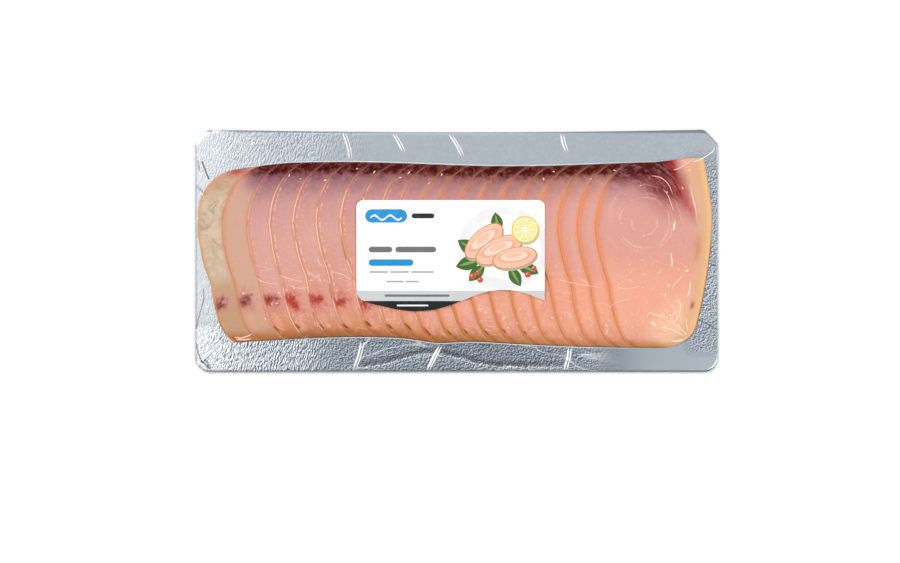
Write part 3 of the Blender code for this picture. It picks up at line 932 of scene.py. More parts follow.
        # The dark muscle thickens to the right along the far side, then turns down along the pale back
        edge = self.from_far.jitter(swirl, 6.0).jitter(self.flecks, 4.0)
        depth = edge - self.x.ramp(99.0, 124.0, 0.0, 11.0)
        turn = (self.x - (119.8 + (50.0 - self.y) * 0.42)).jitter(swirl, 9.0)
        before = turn.ramp(5.0, 0.5)
        toward = self.x.ramp(98.0, 120.0)
        tone = g.blend(toward, TOP_LILAC, TOP_CLARET)
        self.paint(depth.ramp(28.0, 12.0) * before * 0.6, tone)
        tone = g.blend(toward, TOP_MAUVE, TOP_MAROON)
        self.paint(depth.ramp(16.5, 7.5) * before * 0.9, tone)
        self.paint(edge.ramp(10.5, 5.0) * before * 0.95, TOP_MUSCLE)
        rosy = (
            turn.bell(3.2, self.y.ramp(47.0, 32.0, 3.4, 6.5))
            * self.y.ramp(51.0, 45.0)
            * self.y.ramp(11.0, 26.0)
        )
        rosy = rosy * self.y.ramp(10.0, 40.0, 0.55, 1.0)
        self.paint(rosy * swirl.ramp(0.4, 0.56, 0.3, 1.0) * 0.92, ROSY_BAND)
        self.paint(rosy * self.flecks.ramp(0.54, 0.66) * self.y.ramp(34.0, 46.0) * 0.7, ROSY_FLECKS)
        streaky = depth.ramp(26.0, 6.0) * turn.ramp(9.0, 0.0) * swirl.ramp(0.5, 0.62)
        self.paint(streaky * 0.2, ROSY_STREAKS)
        # A small whorl in the middle of the slice
        over, up = self.x - WHORL_MIDDLE[0], self.y - WHORL_MIDDLE[1]
        whorl = g.distance(over, up).jitter(self.ragged, 3.0)
        broken = g.noise(self.own, 0.085, 2.0).ramp(0.44, 0.58)
        for reach, thick, share in WHORL_RINGS:
            self.paint(whorl.near(reach, thick) * broken * share, settings.septum)
        # Paler towards the near right corner, in a fan, with painted highlights along the film's creases
        # there
        over, up = 131.5 - self.x, self.y + 49.5
        reach = g.distance(over, up)
        fan = g.vector(g.maths("ARCTAN2", up, over) * 7.0, reach * 0.03)
        pleats = g.noise(fan, 1.3, 2.0, 0.6)
        pale = reach.jitter(self.patches, 14.0).ramp(29.0, 10.0) * pleats.ramp(0.36, 0.58, 0.45, 1.0)
        self.paint(pale * 0.9, PALE_FAN)
        creases = reach.ramp(26.0, 8.0) * pleats.near(0.5, 0.03)
        self.paint(creases * 0.55, FAN_CREASE_HIGHLIGHT)
        # The pale fatty back along the right edge, with its yellow, brown and golden rims
        width = self.y.ramp(51.0, 16.0, 13.0, 8.5)
        uneven = self.from_right.jitter(g.noise(self.own, 0.16, 3.0), 4.0)
        self.paint(uneven.ramp(width + 2.5, width - 3.0) * 0.88, settings.cream)
        pink_top = self.from_far.ramp(12.0, 2.0) * self.from_right.bell(12.5, 5.0)
        self.paint(pink_top * 0.6, PINK_TOP)
        apex = self.x.jitter(self.flecks, 6.0).bell(123.0, 4.5) * self.from_far.ramp(8.0, 3.0)
        self.paint(apex * 0.55, RED_APEX)
        self.paint(self.from_right.jitter(self.ragged, 3.0).ramp(5.2, 1.0) * 0.75, settings.yellow_fat)
        self.paint(self.from_right.ramp(1.1, 0.3) * self.y.ramp(20.0, -10.0) * 0.7, settings.brown)
        golden = self.from_near.jitter(self.ragged, 1.6).ramp(2.6, 1.0) * self.x.ramp(92.0, 102.0)
        self.paint(golden * self.x.ramp(128.0, 118.0) * 0.8, GOLDEN_RIM)
        smear = self.from_right.jitter(self.ragged, 3.0).bell(7.5, 3.2) * self.y.bell(1.5, 12.0)
        low = self.from_right.bell(5.6, 2.0) * self.y.bell(-31.0, 3.6)
        self.paint(smear * 0.6, BACK_SMEAR)
        self.paint(low * 0.85, LOW_SPOT)
        line = self.from_right.near(self.y.ramp(40.0, 15.0, 11.0, 9.0), 0.55) * self.y.bell(28.0, 14.0)
        self.paint(line * 0.8, BACK_LINE)

    def material(self):
        g = self.g
        self.flesh()
        self.rings()
        self.dark_side()
        self.blood_spots()
        self.first_slices()
        if self.last:
            self.top_slice()
        self.rims()
        height = self.flecks * 0.6 + g.most(self.septa, self.lines) * 0.6
        rough = self.flecks.ramp(0.3, 0.8, 0.35, 0.5)
        g.finish(subsurface_weight=0.22, subsurface_radius=(1.0, 0.40, 0.26), subsurface_scale=0.9 * MM)
        normal = g.bump(height, 0.14 * MM, 0.8)
        return g.finish(base_color=self.skin, roughness=rough, normal=normal, specular_ior_level=0.0)


class PACK_OT_slices(bpy.types.Operator):
    """Make the fan of smoked fish slices"""

    bl_idname = "pack.slices"
    bl_label = "Slices"

    def execute(self, context):
        settings = context.scene.pack_fish
        plain = FishLooks(settings, "smoked_fish", last=False).material()
        top = FishLooks(settings, "smoked_fish_top", last=True).material()
        for number, node in enumerate(SLICE_NODES):
            vertices, faces, marks = slice_mesh(number, settings.edge_round)
            material = top if number == LAST else plain
            piece = add_piece(f"fish_{number + 1:02d}", vertices, faces, material)
            for name, values in marks.items():
                add_attribute(piece, name, values)
            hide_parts(node)
        return {"FINISHED"}


# Card


class PACK_PG_card(bpy.types.PropertyGroup):
    """The silver card."""

    silver: colour("Silver", "Foil on the card", (0.66, 0.725, 0.78))
    shade: colour("Shaded silver", "Foil where the embossing is deep", (0.16, 0.20, 0.25))
    # Dents are painted as dark lines of shade, and so is the buckle's shadow
    dent_shade: colour("Dents", "Dark dents in the foil", (0.045, 0.050, 0.060))
    buckle: length("Buckle", "How far the vacuum has buckled the card", 0.10 * MM)


# Dents in the foil, painted as dark lines of shade: start, end and width in millimetres, and how dark
DENTS = [
    ((-145.7, 51.0), (-142.0, 41.3), 0.75, 0.75),
    ((-148.2, 51.6), (-147.4, 46.5), 0.55, 0.55),
    ((-150.0, 38.6), (-145.4, 34.4), 0.35, 0.60),
    ((-150.0, 37.2), (-144.9, 33.2), 0.35, 0.60),
    ((-134.1, -49.2), (-146.8, -62.5), 0.40, 0.70),
    ((-133.1, -50.9), (-145.5, -64.0), 0.40, 0.70),
    ((-145.1, -21.8), (-144.7, -27.9), 0.45, 0.50),
    ((-144.7, -27.9), (-147.6, -37.5), 0.45, 0.60),
    ((-147.6, -37.5), (-149.3, -45.0), 0.50, 0.60),
    ((-149.3, -52.0), (-148.1, -57.4), 0.50, 0.60),
    ((-143.8, -62.5), (-140.9, -67.0), 1.00, 0.55),
    ((-148.5, -57.4), (-145.7, -64.0), 0.50, 0.75),
    ((-146.2, -62.6), (-141.6, -67.4), 0.55, 0.80),
    ((-142.6, 68.4), (-140.6, 68.7), 0.55, 0.80),
    ((137.5, -38.8), (149.4, -44.9), 0.40, 0.80),
    ((145.0, -7.2), (149.0, -8.8), 0.55, 0.55),
]
BRIGHT_FOIL_REFLECTION = (0.93, 0.96, 0.99)
SHADED_FOIL = (0.110, 0.140, 0.180)
PIT_SHADE = (0.080, 0.105, 0.140)


def card_material(settings):
    g = new_graph("silver_card")
    spot, x, y, _ = g.place()
    swing = (g.noise(spot, 0.030, 3.0) - 0.5) * 40.0
    # Embossed down both ends and along the near side, smooth elsewhere
    left = (x + swing).ramp(-42.0, -80.0)
    low = y.ramp(-36.0, -48.0)
    near = low * (x + swing * 0.6).ramp(104.0, 66.0)
    right = x.ramp(128.0, 138.0) * y.ramp(60.0, 46.0) * y.ramp(-62.0, -54.0)
    deep = g.most(g.most(near, right * 0.75), left * 0.55)
    # The grain runs up and down in waves at the left, and is finer and rounder along the near side
    streaks = g.relief(g.vector(x + y * -0.22, y * 0.32), (0.46, -0.14, 0.0), 1.20, 2.0)
    pits = g.relief(spot, (0.32, -0.36, 0.0), 1.05, 3.0)
    inner = g.most(x.ramp(-92.0, -58.0) * low, x.ramp(120.0, 130.0))
    grain = streaks * (1.0 - inner) + pits * inner
    ridges = g.noise(g.stretched(spot, (0.30, 1.0, 1.0)), 0.050, 1.0, 0.5, 1.0)
    ridge = ridges.near(0.47, 0.022) * near * x.ramp(-70.0, -50.0)
    height = grain * deep + ridge * 0.35

    # Painted shade where the near margin tilts towards the front
    slope = low * x.ramp(-142.0, -40.0) * x.ramp(118.0, 62.0, 0.26, 1.0)
    # Faint clouds and a few specks of painted brighter reflection where the card is smooth
    clouds = g.noise(spot, 0.45, 3.0, 0.6).ramp(0.42, 0.66) * low.ramp(1.0, 0.0)
    specks = g.noise(spot, 1.3, 1.0).ramp(0.68, 0.74) * x.ramp(92.0, 108.0) * y.ramp(50.0, 54.0)
    contrast = g.most(near * x.ramp(-120.0, -100.0), right)
    contrast = g.most(contrast, left * low.ramp(0.0, 1.0, 0.62, 1.0)) * x.ramp(-148.0, -126.0, 0.4, 1.0)
    pit_shadows = grain.ramp(0.498, inner.ramp(0.0, 1.0, 0.44, 0.425)) * contrast
    glints = grain.ramp(0.518, 0.58) * contrast * inner.ramp(0.0, 1.0, 0.85, 0.4)
    # One long low buckle along the near side, only painted: a painted shadow beside it and a painted
    # highlight on its crest
    crest = (y - (x.bell(-14.0, 40.0) * 7.6 + -66.4)).jitter(g.noise(spot, 0.35, 3.0), 3.6)
    along = x.ramp(-72.0, -50.0) * x.ramp(80.0, 40.0)
    dents = [(g.stroke(x, y, *line) * share, settings.dent_shade) for *line, share in DENTS]
    # The foil's light and shade are painted into its colour: brighter reflection at the far left, painted
    # shade near the front, along the bottom middle and down the right, painted shade in the grain's pits,
    # painted glints on its bumps and painted highlights on the ridges
    tone = g.coats(
        settings.silver,
        (x.ramp(-96.0, -138.0), BRIGHT_FOIL_REFLECTION),
        (slope * 0.86, settings.shade),
        (x.bell(22.0, 80.0) * low * 0.75, SHADED_FOIL),
        (right * 0.68, settings.shade),
        (x.ramp(20.0, 120.0) * y.ramp(40.0, 55.0) * 0.1, settings.shade),
        (clouds * 0.13, BRIGHT_FOIL_REFLECTION),
        (specks * 0.75, BRIGHT_FOIL_REFLECTION),
        (pit_shadows * 0.92, g.blend(g.most(inner, low), settings.shade, PIT_SHADE)),
        (glints, BRIGHT_FOIL_REFLECTION),
        (ridge * 0.4, BRIGHT_FOIL_REFLECTION),
        (crest.bell(2.0, 2.4) * along * 0.62, settings.dent_shade),
        (crest.near(-0.4, 1.1) * along * grain.ramp(0.44, 0.52) * 0.6, BRIGHT_FOIL_REFLECTION),
        (crest.bell(-2.6, 2.8) * along * grain.ramp(0.47, 0.54) * 0.45, settings.silver),
        *dents,
        # Painted shade along the far and left edges, and a painted highlight along the near edge
        (y.ramp(67.0, 68.2) * x.ramp(-140.0, -125.0) * 0.65, settings.shade),
        (x.ramp(-148.6, -149.2) * 0.6, settings.shade),
        (y.ramp(-68.6, -69.0) * x.ramp(-150.0, -60.0, 0.35, 0.9), BRIGHT_FOIL_REFLECTION),
    )
    rough = deep.ramp(0.0, 1.0, 0.27, 0.36)
    return g.finish(base_color=tone, roughness=rough, normal=g.bump(height, 0.15 * MM, 1.0), metallic=1.0)


class PACK_OT_card(bpy.types.Operator):
    """Make the silver card"""

    bl_idname = "pack.card"
    bl_label = "Card"

    def execute(self, context):
        settings = context.scene.pack_card
        inset = HALF_LENGTH - CARD_HIGH.x
        bevel = 0.15 * MM
        x, y = pack_grid(inset + bevel, CARD_STEP)
        top = CARD_HIGH.z - settings.buckle * (0.5 + 0.5 * waves(x, y, 11, (35.0 * MM, 90.0 * MM)))
        rings = [(bevel, CARD_HIGH.z - 2.0 * bevel), (bevel, CARD_LOW.z + bevel), (0.0, CARD_LOW.z)]
        vertices, faces = plate_mesh(x, y, top, rings)
        piece = add_piece("silver_card", vertices, faces, card_material(settings))
        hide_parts("card")
        return {"FINISHED"}


# Film


class PACK_PG_film(bpy.types.PropertyGroup):
    """The clear film."""

    tint: colour("Tint", "Faint colour of the film", (0.96, 0.97, 0.98))
    gap: length("Gap", "Film over the slices", 0.08 * MM)
    fold_height: length("Fold height", "How far a fold in the film stands up", 0.22 * MM)
    fold_width: length("Fold width", "Width of a fold in the film", 1.0 * MM)
    # The pale colours of the folds and crinkles are painted highlights on the film
    fold: colour("Folds", "Painted highlight on folded film", (0.93, 0.95, 0.96))
    crinkle: colour("Crinkles", "Colour of fine crinkles over the fish", (0.97, 0.64, 0.49))
    roughness: number("Roughness", "Roughness of the film", 0.12, 1.0, subtype="FACTOR")


SKIN = {}  # the film's height, made with the film and read by the label and the folds


def clear(g, share):
    """Lets the light straight through the surface, apart from the share that meets the shader."""
    through = g.make("BsdfTransparent", {})
    mixed = g.make("MixShader", {0: share, 1: through, 2: Value(g, g.shader.outputs[0])})
    g.put(g.tree.nodes["Material Output"].inputs["Surface"], mixed)
    return g.owner


def film_material(settings):
    g = new_graph("clear_film")
    spot, *_ = g.place()
    ripple = g.noise(g.stretched(spot, (1.0, 0.6, 1.0)), 0.22, 3.0, 0.55, 0.4)
    rough = ripple.ramp(0.3, 0.7, settings.roughness, settings.roughness + 0.07)
    g.finish(base_color=(*settings.tint, 1.0), roughness=rough, normal=g.bump(ripple, 0.35 * MM, 0.5))
    turned = g.make("LayerWeight", {}, "Facing")
    return clear(g, 0.004 + g.maths("POWER", turned, 3.0) * 0.5)


def fold_material(name, tone, least, most):
    """Film where it is folded, pale with a painted highlight; its cover runs from least to most."""
    g = new_graph(name)
    spot, *_ = g.place()
    patchiness = g.noise(spot, 0.45, 2.0)
    rough = patchiness.ramp(0.3, 0.7, 0.25, 0.40)
    g.finish(base_color=(*tone, 1.0), roughness=rough, specular_ior_level=0.2)
    cover = g.attribute("cover") * patchiness.ramp(0.32, 0.60, least, most)
    return clear(g, cover.ramp(0.10, 0.28))


def smooth_path(points, step):
    """Points `step` apart along a smooth curve through the given ones."""
    points = np.array(points, dtype=float)
    ends = 2 * points[0] - points[1], 2 * points[-1] - points[-2]
    padded = np.vstack((ends[0], points, ends[1]))
    out = []
    for a, b, c, d in zip(padded, padded[1:], padded[2:], padded[3:]):
        count = max(2, round(np.linalg.norm(c - b) / step))
        for t in np.arange(count) / count:
            bend = (2 * a - 5 * b + 4 * c - d) * t**2
            out.append(0.5 * (2 * b + (c - a) * t + bend + (3 * b - a - 3 * c + d) * t**3))
    out.append(points[-1])
    return np.array(out)


FOLD_SECTION = ((-0.5, 0.0), (-0.25, 0.7), (0.0, 1.0), (0.25, 0.7), (0.5, 0.0), (0.0, -0.6))
FOLD_COVER = (0.0, 0.8, 1.0, 0.8, 0.0, 0.0)


class Folds:
    """Closed ridges in the film, gathered into one mesh: tapered at their ends, clear at their feet."""

    def __init__(self, field):
        self.field = field
        self.vertices = []
        self.faces = []
        self.cover = []

    def add(self, path, width, height, cover=1.0):
        """A ridge along a path in millimetres."""
        line = smooth_path(path, 0.9) * MM
        along = np.gradient(line, axis=0)
        side = np.stack((-along[:, 1], along[:, 0]), axis=1)
        side /= np.linalg.norm(side, axis=1, keepdims=True)
        share = np.linspace(0.0, 1.0, len(line))
        taper = np.minimum(1.0, 0.15 + 4.0 * np.minimum(share, 1.0 - share))
        start = len(self.vertices)
        sides = len(FOLD_SECTION)
        base = self.field.read(line[:, 0], line[:, 1]) + 0.04 * MM
        for point, out, size, foot in zip(line, side, taper, base):
            for (out_share, up_share), clear_share in zip(FOLD_SECTION, FOLD_COVER):
                x, y = point + out * out_share * width * size
                self.vertices.append((x, y, foot + up_share * height * size))
                self.cover.append(cover * clear_share * size)
        for k in range(len(line) - 1):
            for j in range(sides):
                a = start + k * sides + j
                b = start + k * sides + (j + 1) % sides
                self.faces.append((a, a + sides, b + sides, b))
        self.faces.append(tuple(range(start, start + sides)))
        last = start + (len(line) - 1) * sides
        self.faces.append(tuple(range(last + sides - 1, last - 1, -1)))

    def piece(self, name, material):
        made = add_piece(name, self.vertices, self.faces, material)
        made.data.set_sharp_from_angle(angle=math.radians(60.0))
        add_attribute(made, "cover", self.cover)


def wander(draw, start, direction, swing, reach, steps):
    """A curly path: it starts in about the given direction and keeps turning the same way for a while."""
    x, y = start
    heading = math.radians(draw.normal(direction, swing))
    bend = math.radians(draw.normal(0.0, 26.0))
    path = [(x, y)]
    for _ in range(steps):
        x, y = x + reach * math.cos(heading), y + reach * math.sin(heading)
        heading += bend + math.radians(draw.normal(0.0, 16.0))
        path.append((x, y))
    return path


# Creases pressed into the film's margins, each with two edges: width, then the path in millimetres
MARGIN_FOLDS = [
    (0.8, [(-64.8, 68.4), (-62.2, 61.5), (-60.3, 52.0)]),
    (0.9, [(-35.8, 67.1), (-32.6, 61.9), (-30.1, 56.8)]),
    (0.9, [(-3.7, 67.1), (0.6, 60.5), (3.7, 53.9)]),
    (1.0, [(60.5, 67.1), (61.5, 62.0), (63.4, 56.8)]),
    (1.15, [(-53.8, -51.6), (-55.4, -59.5), (-58.6, -68.6)]),
    (1.3, [(-8.9, -53.9), (-12.4, -60.5), (-16.3, -68.6)]),
    (1.15, [(65.1, -54.4), (64.3, -61.0), (62.2, -68.6)]),
    (0.9, [(-133.3, -50.3), (-140.0, -56.9), (-146.6, -63.4)]),
]
CORNER_FOLDS = [[(134.0, 50.6), (139.7, 52.4), (146.6, 56.8), (148.0, 60.2)]]
# Short glints where the film has puckered over the fish: middle and spread (mm), count, lengths, direction
PUCKERS = [
    ((10.0, 43.5), (95.0, 3.5), 22, (1.0, 2.6), 25.0, 30.0),
    ((-95.0, -22.0), (30.0, 10.0), 10, (1.2, 3.4), 150.0, 25.0),
    ((0.0, -42.0), (75.0, 5.0), 10, (1.2, 3.0), 125.0, 25.0),
    ((100.0, 8.0), (12.0, 14.0), 7, (0.8, 1.6), 60.0, 40.0),
]
# Crinkles over the top slice: width and cover, then the path
CRINKLES = [
    (
        1.0, 0.75,
        [(122.5, -28.7), (125.9, -28.7), (128.2, -30.4), (127.6, -35.3), (125.9, -39.0), (121.9, -43.6)],
    ),
    (
        1.1, 0.80,
        [(108.7, -39.0), (109.3, -36.1), (111.0, -35.6), (113.9, -36.7), (117.3, -37.3), (120.2, -36.1)],
    ),
    (1.0, 0.70, [(124.2, -32.4), (124.8, -34.4), (123.0, -36.7), (120.5, -36.9)]),
    (2.2, 0.90, [(111.0, -40.2), (112.4, -41.7), (114.0, -43.0)]),
    (1.2, 0.90, [(122.4, -0.6), (122.9, -5.0), (123.0, -9.5)]),
    (2.0, 0.95, [(120.7, -18.9), (121.0, -19.8), (121.3, -20.7)]),
    (1.2, 0.85, [(119.3, -24.1), (119.1, -25.4), (118.9, -26.7)]),
    (1.1, 0.95, [(133.9, -17.0), (133.3, -22.4), (132.3, -25.4), (131.4, -27.5)]),
    (2.2, 0.95, [(131.1, -12.0), (131.9, -11.4), (132.5, -10.9)]),
    (0.8, 0.60, [(129.6, -13.2), (127.6, -16.0), (124.8, -18.9), (122.5, -22.9)]),
    (1.2, 0.75, [(132.6, -48.8), (130.2, -46.4), (127.6, -43.9), (125.9, -40.7)]),
    (1.2, 0.65, [(131.6, -49.6), (123.9, -45.3), (115.0, -43.0)]),
    (0.9, 0.60, [(133.0, -47.0), (131.8, -43.0), (131.5, -38.0)]),
    (1.8, 1.00, [(122.5, -51.7), (126.5, -51.4), (130.2, -50.6)]),
    (0.7, 0.75, [(137.2, 53.6), (133.0, 51.0), (127.4, 47.3), (123.0, 46.0)]),
    (0.55, 0.55, [(110.0, 43.0), (116.0, 42.0), (121.0, 38.0), (124.0, 31.0)]),
    (0.55, 0.50, [(117.0, 36.0), (120.5, 32.0), (122.8, 26.0), (124.5, 21.0)]),
    (1.6, 0.80, [(124.7, 17.5), (124.3, 14.0), (123.9, 11.0)]),
    (1.0, 0.60, [(-127.9, -49.0), (-124.0, -49.9), (-119.5, -48.8), (-116.5, -47.2)]),
    (1.0, 0.70, [(-126.5, -50.8), (-121.0, -50.8), (-117.0, -50.2)]),
    (0.5, 0.60, [(-116.0, -14.6), (-109.4, -18.0), (-100.1, -19.3)]),
    (0.5, 0.55, [(-102.8, -13.3), (-94.8, -16.0), (-86.2, -18.0)]),
    (0.5, 0.60, [(-85.6, -12.0), (-78.9, -15.3), (-76.3, -19.3)]),
    (0.5, 0.60, [(-71.0, -12.0), (-64.5, -13.6), (-59.5, -17.0)]),
    (0.4, 0.55, [(-97.5, -19.3), (-89.5, -21.3), (-81.6, -20.6)]),
    (0.5, 0.55, [(53.0, -15.4), (61.5, -17.3), (74.0, -19.8), (86.0, -21.0)]),
    (0.5, 0.55, [(88.0, -20.0), (97.0, -21.5), (106.4, -19.8)]),
    (0.4, 0.50, [(85.0, -33.0), (93.0, -28.6), (101.0, -27.8)]),
]


class PACK_OT_film(bpy.types.Operator):
    """Make the clear film drawn down over the slices and the card"""

    bl_idname = "pack.film"
    bl_label = "Film"

    def execute(self, context):
        settings = context.scene.pack_film
        pile = pile_heights(context.scene.pack_fish.edge_round)
        skin = drawn_down(pile + settings.gap, 9)
        SKIN["tight"] = Field(skin)
        SKIN["bridging"] = Field(drawn_down(skin, 260))
        x, y = pack_grid(0.35 * MM, FILM_STEP)
        top = SKIN["tight"].read(x, y)
        hem = CARD_HIGH.z + settings.gap
        rings = [(0.25 * MM, hem - 0.15 * MM), (0.35 * MM, CARD_LOW.z), (0.15 * MM, 0.05 * MM), (0.0, 0.0)]
        vertices, faces = plate_mesh(x, y, top, rings)
        piece = add_piece("clear_film", vertices, faces, film_material(settings))
        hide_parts("film_front", "film_back")
        return {"FINISHED"}


class PACK_OT_film_folds(bpy.types.Operator):
    """Make the folds and crinkles in the film"""

    bl_idname = "pack.film_folds"
    bl_label = "Film folds"

    def execute(self, context):
        settings = context.scene.pack_film
        field = SKIN["tight"]
        width, height = settings.fold_width, settings.fold_height
        folds = Folds(field)
        for size, path in MARGIN_FOLDS:
            for shift, share in ((-0.8, 1.1), (0.8, 0.65)):
                folds.add([(x + shift, y) for x, y in path], share * size * width, share * height)
        for path in CORNER_FOLDS:
            folds.add(path, 0.6 * width, 0.8 * height)
        # Pale lines where the film leaves the pile for the card, painted highlights on its bend
        for edge in pile_edges():
            folds.add(edge, 0.45 * width, 0.5 * height, 0.9)
        folds.piece("film_folds", fold_material("folded_film", settings.fold, 0.75, 1.0))

        crinkles = Folds(field)
        for size, cover, path in CRINKLES:
            crinkles.add(path, 0.85 * size * width, 0.3 * height, cover)
        draw = np.random.default_rng(21)
        for middle, spread, count, lengths, direction, swing in PUCKERS:
            for _ in range(count):
                reach = draw.uniform(*lengths)
                path = wander(draw, draw.normal(middle, spread), direction, swing, reach / 3.0, 3)
                if all(on_fish(x * MM, y * MM) for x, y in path):
                    size = draw.uniform(0.45, 0.85)
                    crinkles.add(path, size * width, 0.3 * height, draw.uniform(0.5, 0.9))
        crinkles.piece("film_crinkles", fold_material("crinkled_film", settings.crinkle, 0.6, 1.0))
        return {"FINISHED"}


def pile_edges():
    """Where the film leaves the far and near sides of the pile for the card, in millimetres."""
    x = np.linspace(-128.0, 128.0, 60) * MM
    yield np.column_stack((x, far_side(x) + 0.45 * MM)) / MM
    x = np.linspace(-112.0, 118.0, 60) * MM
    yield np.column_stack((x, near_side(x) - 0.45 * MM)) / MM


def on_fish(x, y):
    """True over the pile of slices, clear of its edges and of the label."""
    v = float(v_at(x, y))
    if not 0.03 < v < 0.97:
        return False
    margin = 2.0 * MM
    if x < NOSES[0] + left_offset(0, v) + margin or x > NOSES[-1] + right_offset(v) - margin:
        return False
    beside_label = not LABEL_LEFT - margin < x < LABEL_RIGHT + margin
    return beside_label or not label_near_edge(x) - margin < y < LABEL_FAR + margin


# Label


class PACK_PG_label(bpy.types.PropertyGroup):
    """The label and its print."""

    paper: colour("Paper", "Label paper", (0.90, 0.90, 0.90))
    thickness: length("Thickness", "Thickness of the label", 0.12 * MM)
    lift: length("Lift", "Label over the ridges of the film", 0.14 * MM)


def label_near_edge(x):
    """The label's waved near edge, in metres."""
    if x < LABEL_TURN:
        share = max((x - LABEL_LEFT) / (LABEL_TURN - LABEL_LEFT), 0.0)
        return LABEL_NEAR - LABEL_DIP * math.sin(math.pi * share**1.25)
    share = (x - LABEL_TURN) / (LABEL_RIGHT - LABEL_TURN)
    return LABEL_NEAR + LABEL_RISE * math.sin(math.pi * share)


def arc(middle, radius, start, end, steps, squash=1.0):
    """Points along an arc, in degrees anticlockwise."""
    points = []
    for step in range(steps + 1):
        angle = math.radians(start + (end - start) * step / steps)
        points.append((middle[0] + radius * math.cos(angle), middle[1] + radius * squash * math.sin(angle)))
    return points


def label_outline():
    """The label's outline, in millimetres."""
    left, right, far, corner = LABEL_LEFT / MM, LABEL_RIGHT / MM, LABEL_FAR / MM, LABEL_CORNER / MM
    points = arc((right - corner, far - corner), corner, 0.0, 90.0, 8)
    points += arc((left + corner, far - corner), corner, 90.0, 180.0, 8)
    for x in np.linspace(left, right, 49):
        lift = corner * float(quarter_round(1.0 - (x - left) / (2.0 * corner)))
        points.append((x, label_near_edge(x * MM) / MM + lift))
    return points


def bar(left, right, low, high):
    """A bar with round ends."""
    radius = (high - low) / 2.0
    middle = (low + high) / 2.0
    right_end = arc((right - radius, middle), radius, -90.0, 90.0, 6)
    return right_end + arc((left + radius, middle), radius, 90.0, 270.0, 6)


def under_wave(top, left, right):
    """The part of the label below a line and above its waved near edge."""
    wave = [(x, label_near_edge(x * MM) / MM - 1.0) for x in np.linspace(left - 1.0, right + 1.0, 41)]
    below = [(x, y) for x, y in wave if y < top]
    return [(below[-1][0], top), (below[0][0], top)] + below


def inside(points, polygon):
    """Which of the points, as rows of x and y, are inside a polygon."""
    x, y = np.asarray(points, dtype=float).T
    odd = np.zeros(len(x), dtype=bool)
    for (x1, y1), (x2, y2) in zip(polygon, polygon[1:] + polygon[:1]):
        if y1 != y2:
            odd ^= ((y1 > y) != (y2 > y)) & (x < x1 + (y - y1) * (x2 - x1) / (y2 - y1))
    return odd


def disc(middle, radius, squash=1.0, steps=28):
    return arc(middle, radius, 0.0, 360.0 - 360.0 / steps, steps - 1, squash)


def turned(points, middle, degrees):
    """Points turned about a middle."""
    c, s = math.cos(math.radians(degrees)), math.sin(math.radians(degrees))
    points = [(x - middle[0], y - middle[1]) for x, y in points]
    return [(middle[0] + c * x - s * y, middle[1] + s * x + c * y) for x, y in points]


def leaf(tip, reach, width, degrees):
    """A pointed leaf from its stalk end."""
    shares = np.linspace(0, 1, 9)
    upper = [(tip[0] + reach * t, tip[1] + width * math.sin(math.pi * t) ** 0.9) for t in shares]
    lower = [(x, 2 * tip[1] - y) for x, y in upper[-2:0:-1]]
    return turned(upper + lower, tip, degrees)


# Bars for lines of text: ink, then left, right, low and high
TEXT_BARS = [
    ("black_ink", (-25.5, -12.5, 18.4, 21.2)),
    ("grey_ink", (-50.0, -36.5, -0.9, 2.3)),
    ("grey_ink", (-34.8, -11.5, -0.9, 2.3)),
    ("blue_ink", (-50.0, -24.5, -8.6, -4.9)),
    ("mid_grey_ink", (-49.5, -39.0, -12.6, -11.6)),
    ("mid_grey_ink", (-37.8, -27.0, -12.6, -11.6)),
    ("mid_grey_ink", (-25.8, -13.0, -12.6, -11.6)),
    ("mid_grey_ink", (-40.0, -30.0, -18.0, -17.1)),
    ("mid_grey_ink", (-29.0, -21.5, -18.0, -17.1)),
    ("grey_ink", (-41.0, -4.0, -26.2, -24.9)),
    ("white_ink", (-34.0, -16.0, -31.6, -30.7)),
]
# The dish's leaves: stalk end, length, half width and direction
LEAVES = [
    ((15.0, -3.0), 17.0, 4.2, 148.0),
    ((14.0, -5.0), 15.0, 4.0, 196.0),
    ((16.0, -8.0), 13.0, 3.4, 226.0),
    ((30.0, -9.0), 13.0, 3.4, 300.0),
    ((34.0, -7.0), 14.0, 3.6, 335.0),
    ((24.0, 10.0), 12.0, 3.4, 100.0),
]
# Its slices: middle, radius, how flat and how far turned
DISH_SLICES = [
    ((15.5, 5.5), 13.5, 0.50, 42.0),
    ((24.0, 0.5), 14.5, 0.46, 26.0),
    ((33.0, -4.0), 13.0, 0.46, 12.0),
]
# Its berries: middle and radius
BERRIES = [
    ((9.0, -14.5), 1.8),
    ((13.5, -16.6), 1.6),
    ((12.4, -12.4), 1.5),
    ((40.5, -13.6), 1.7),
    ((44.0, -10.0), 1.5),
]


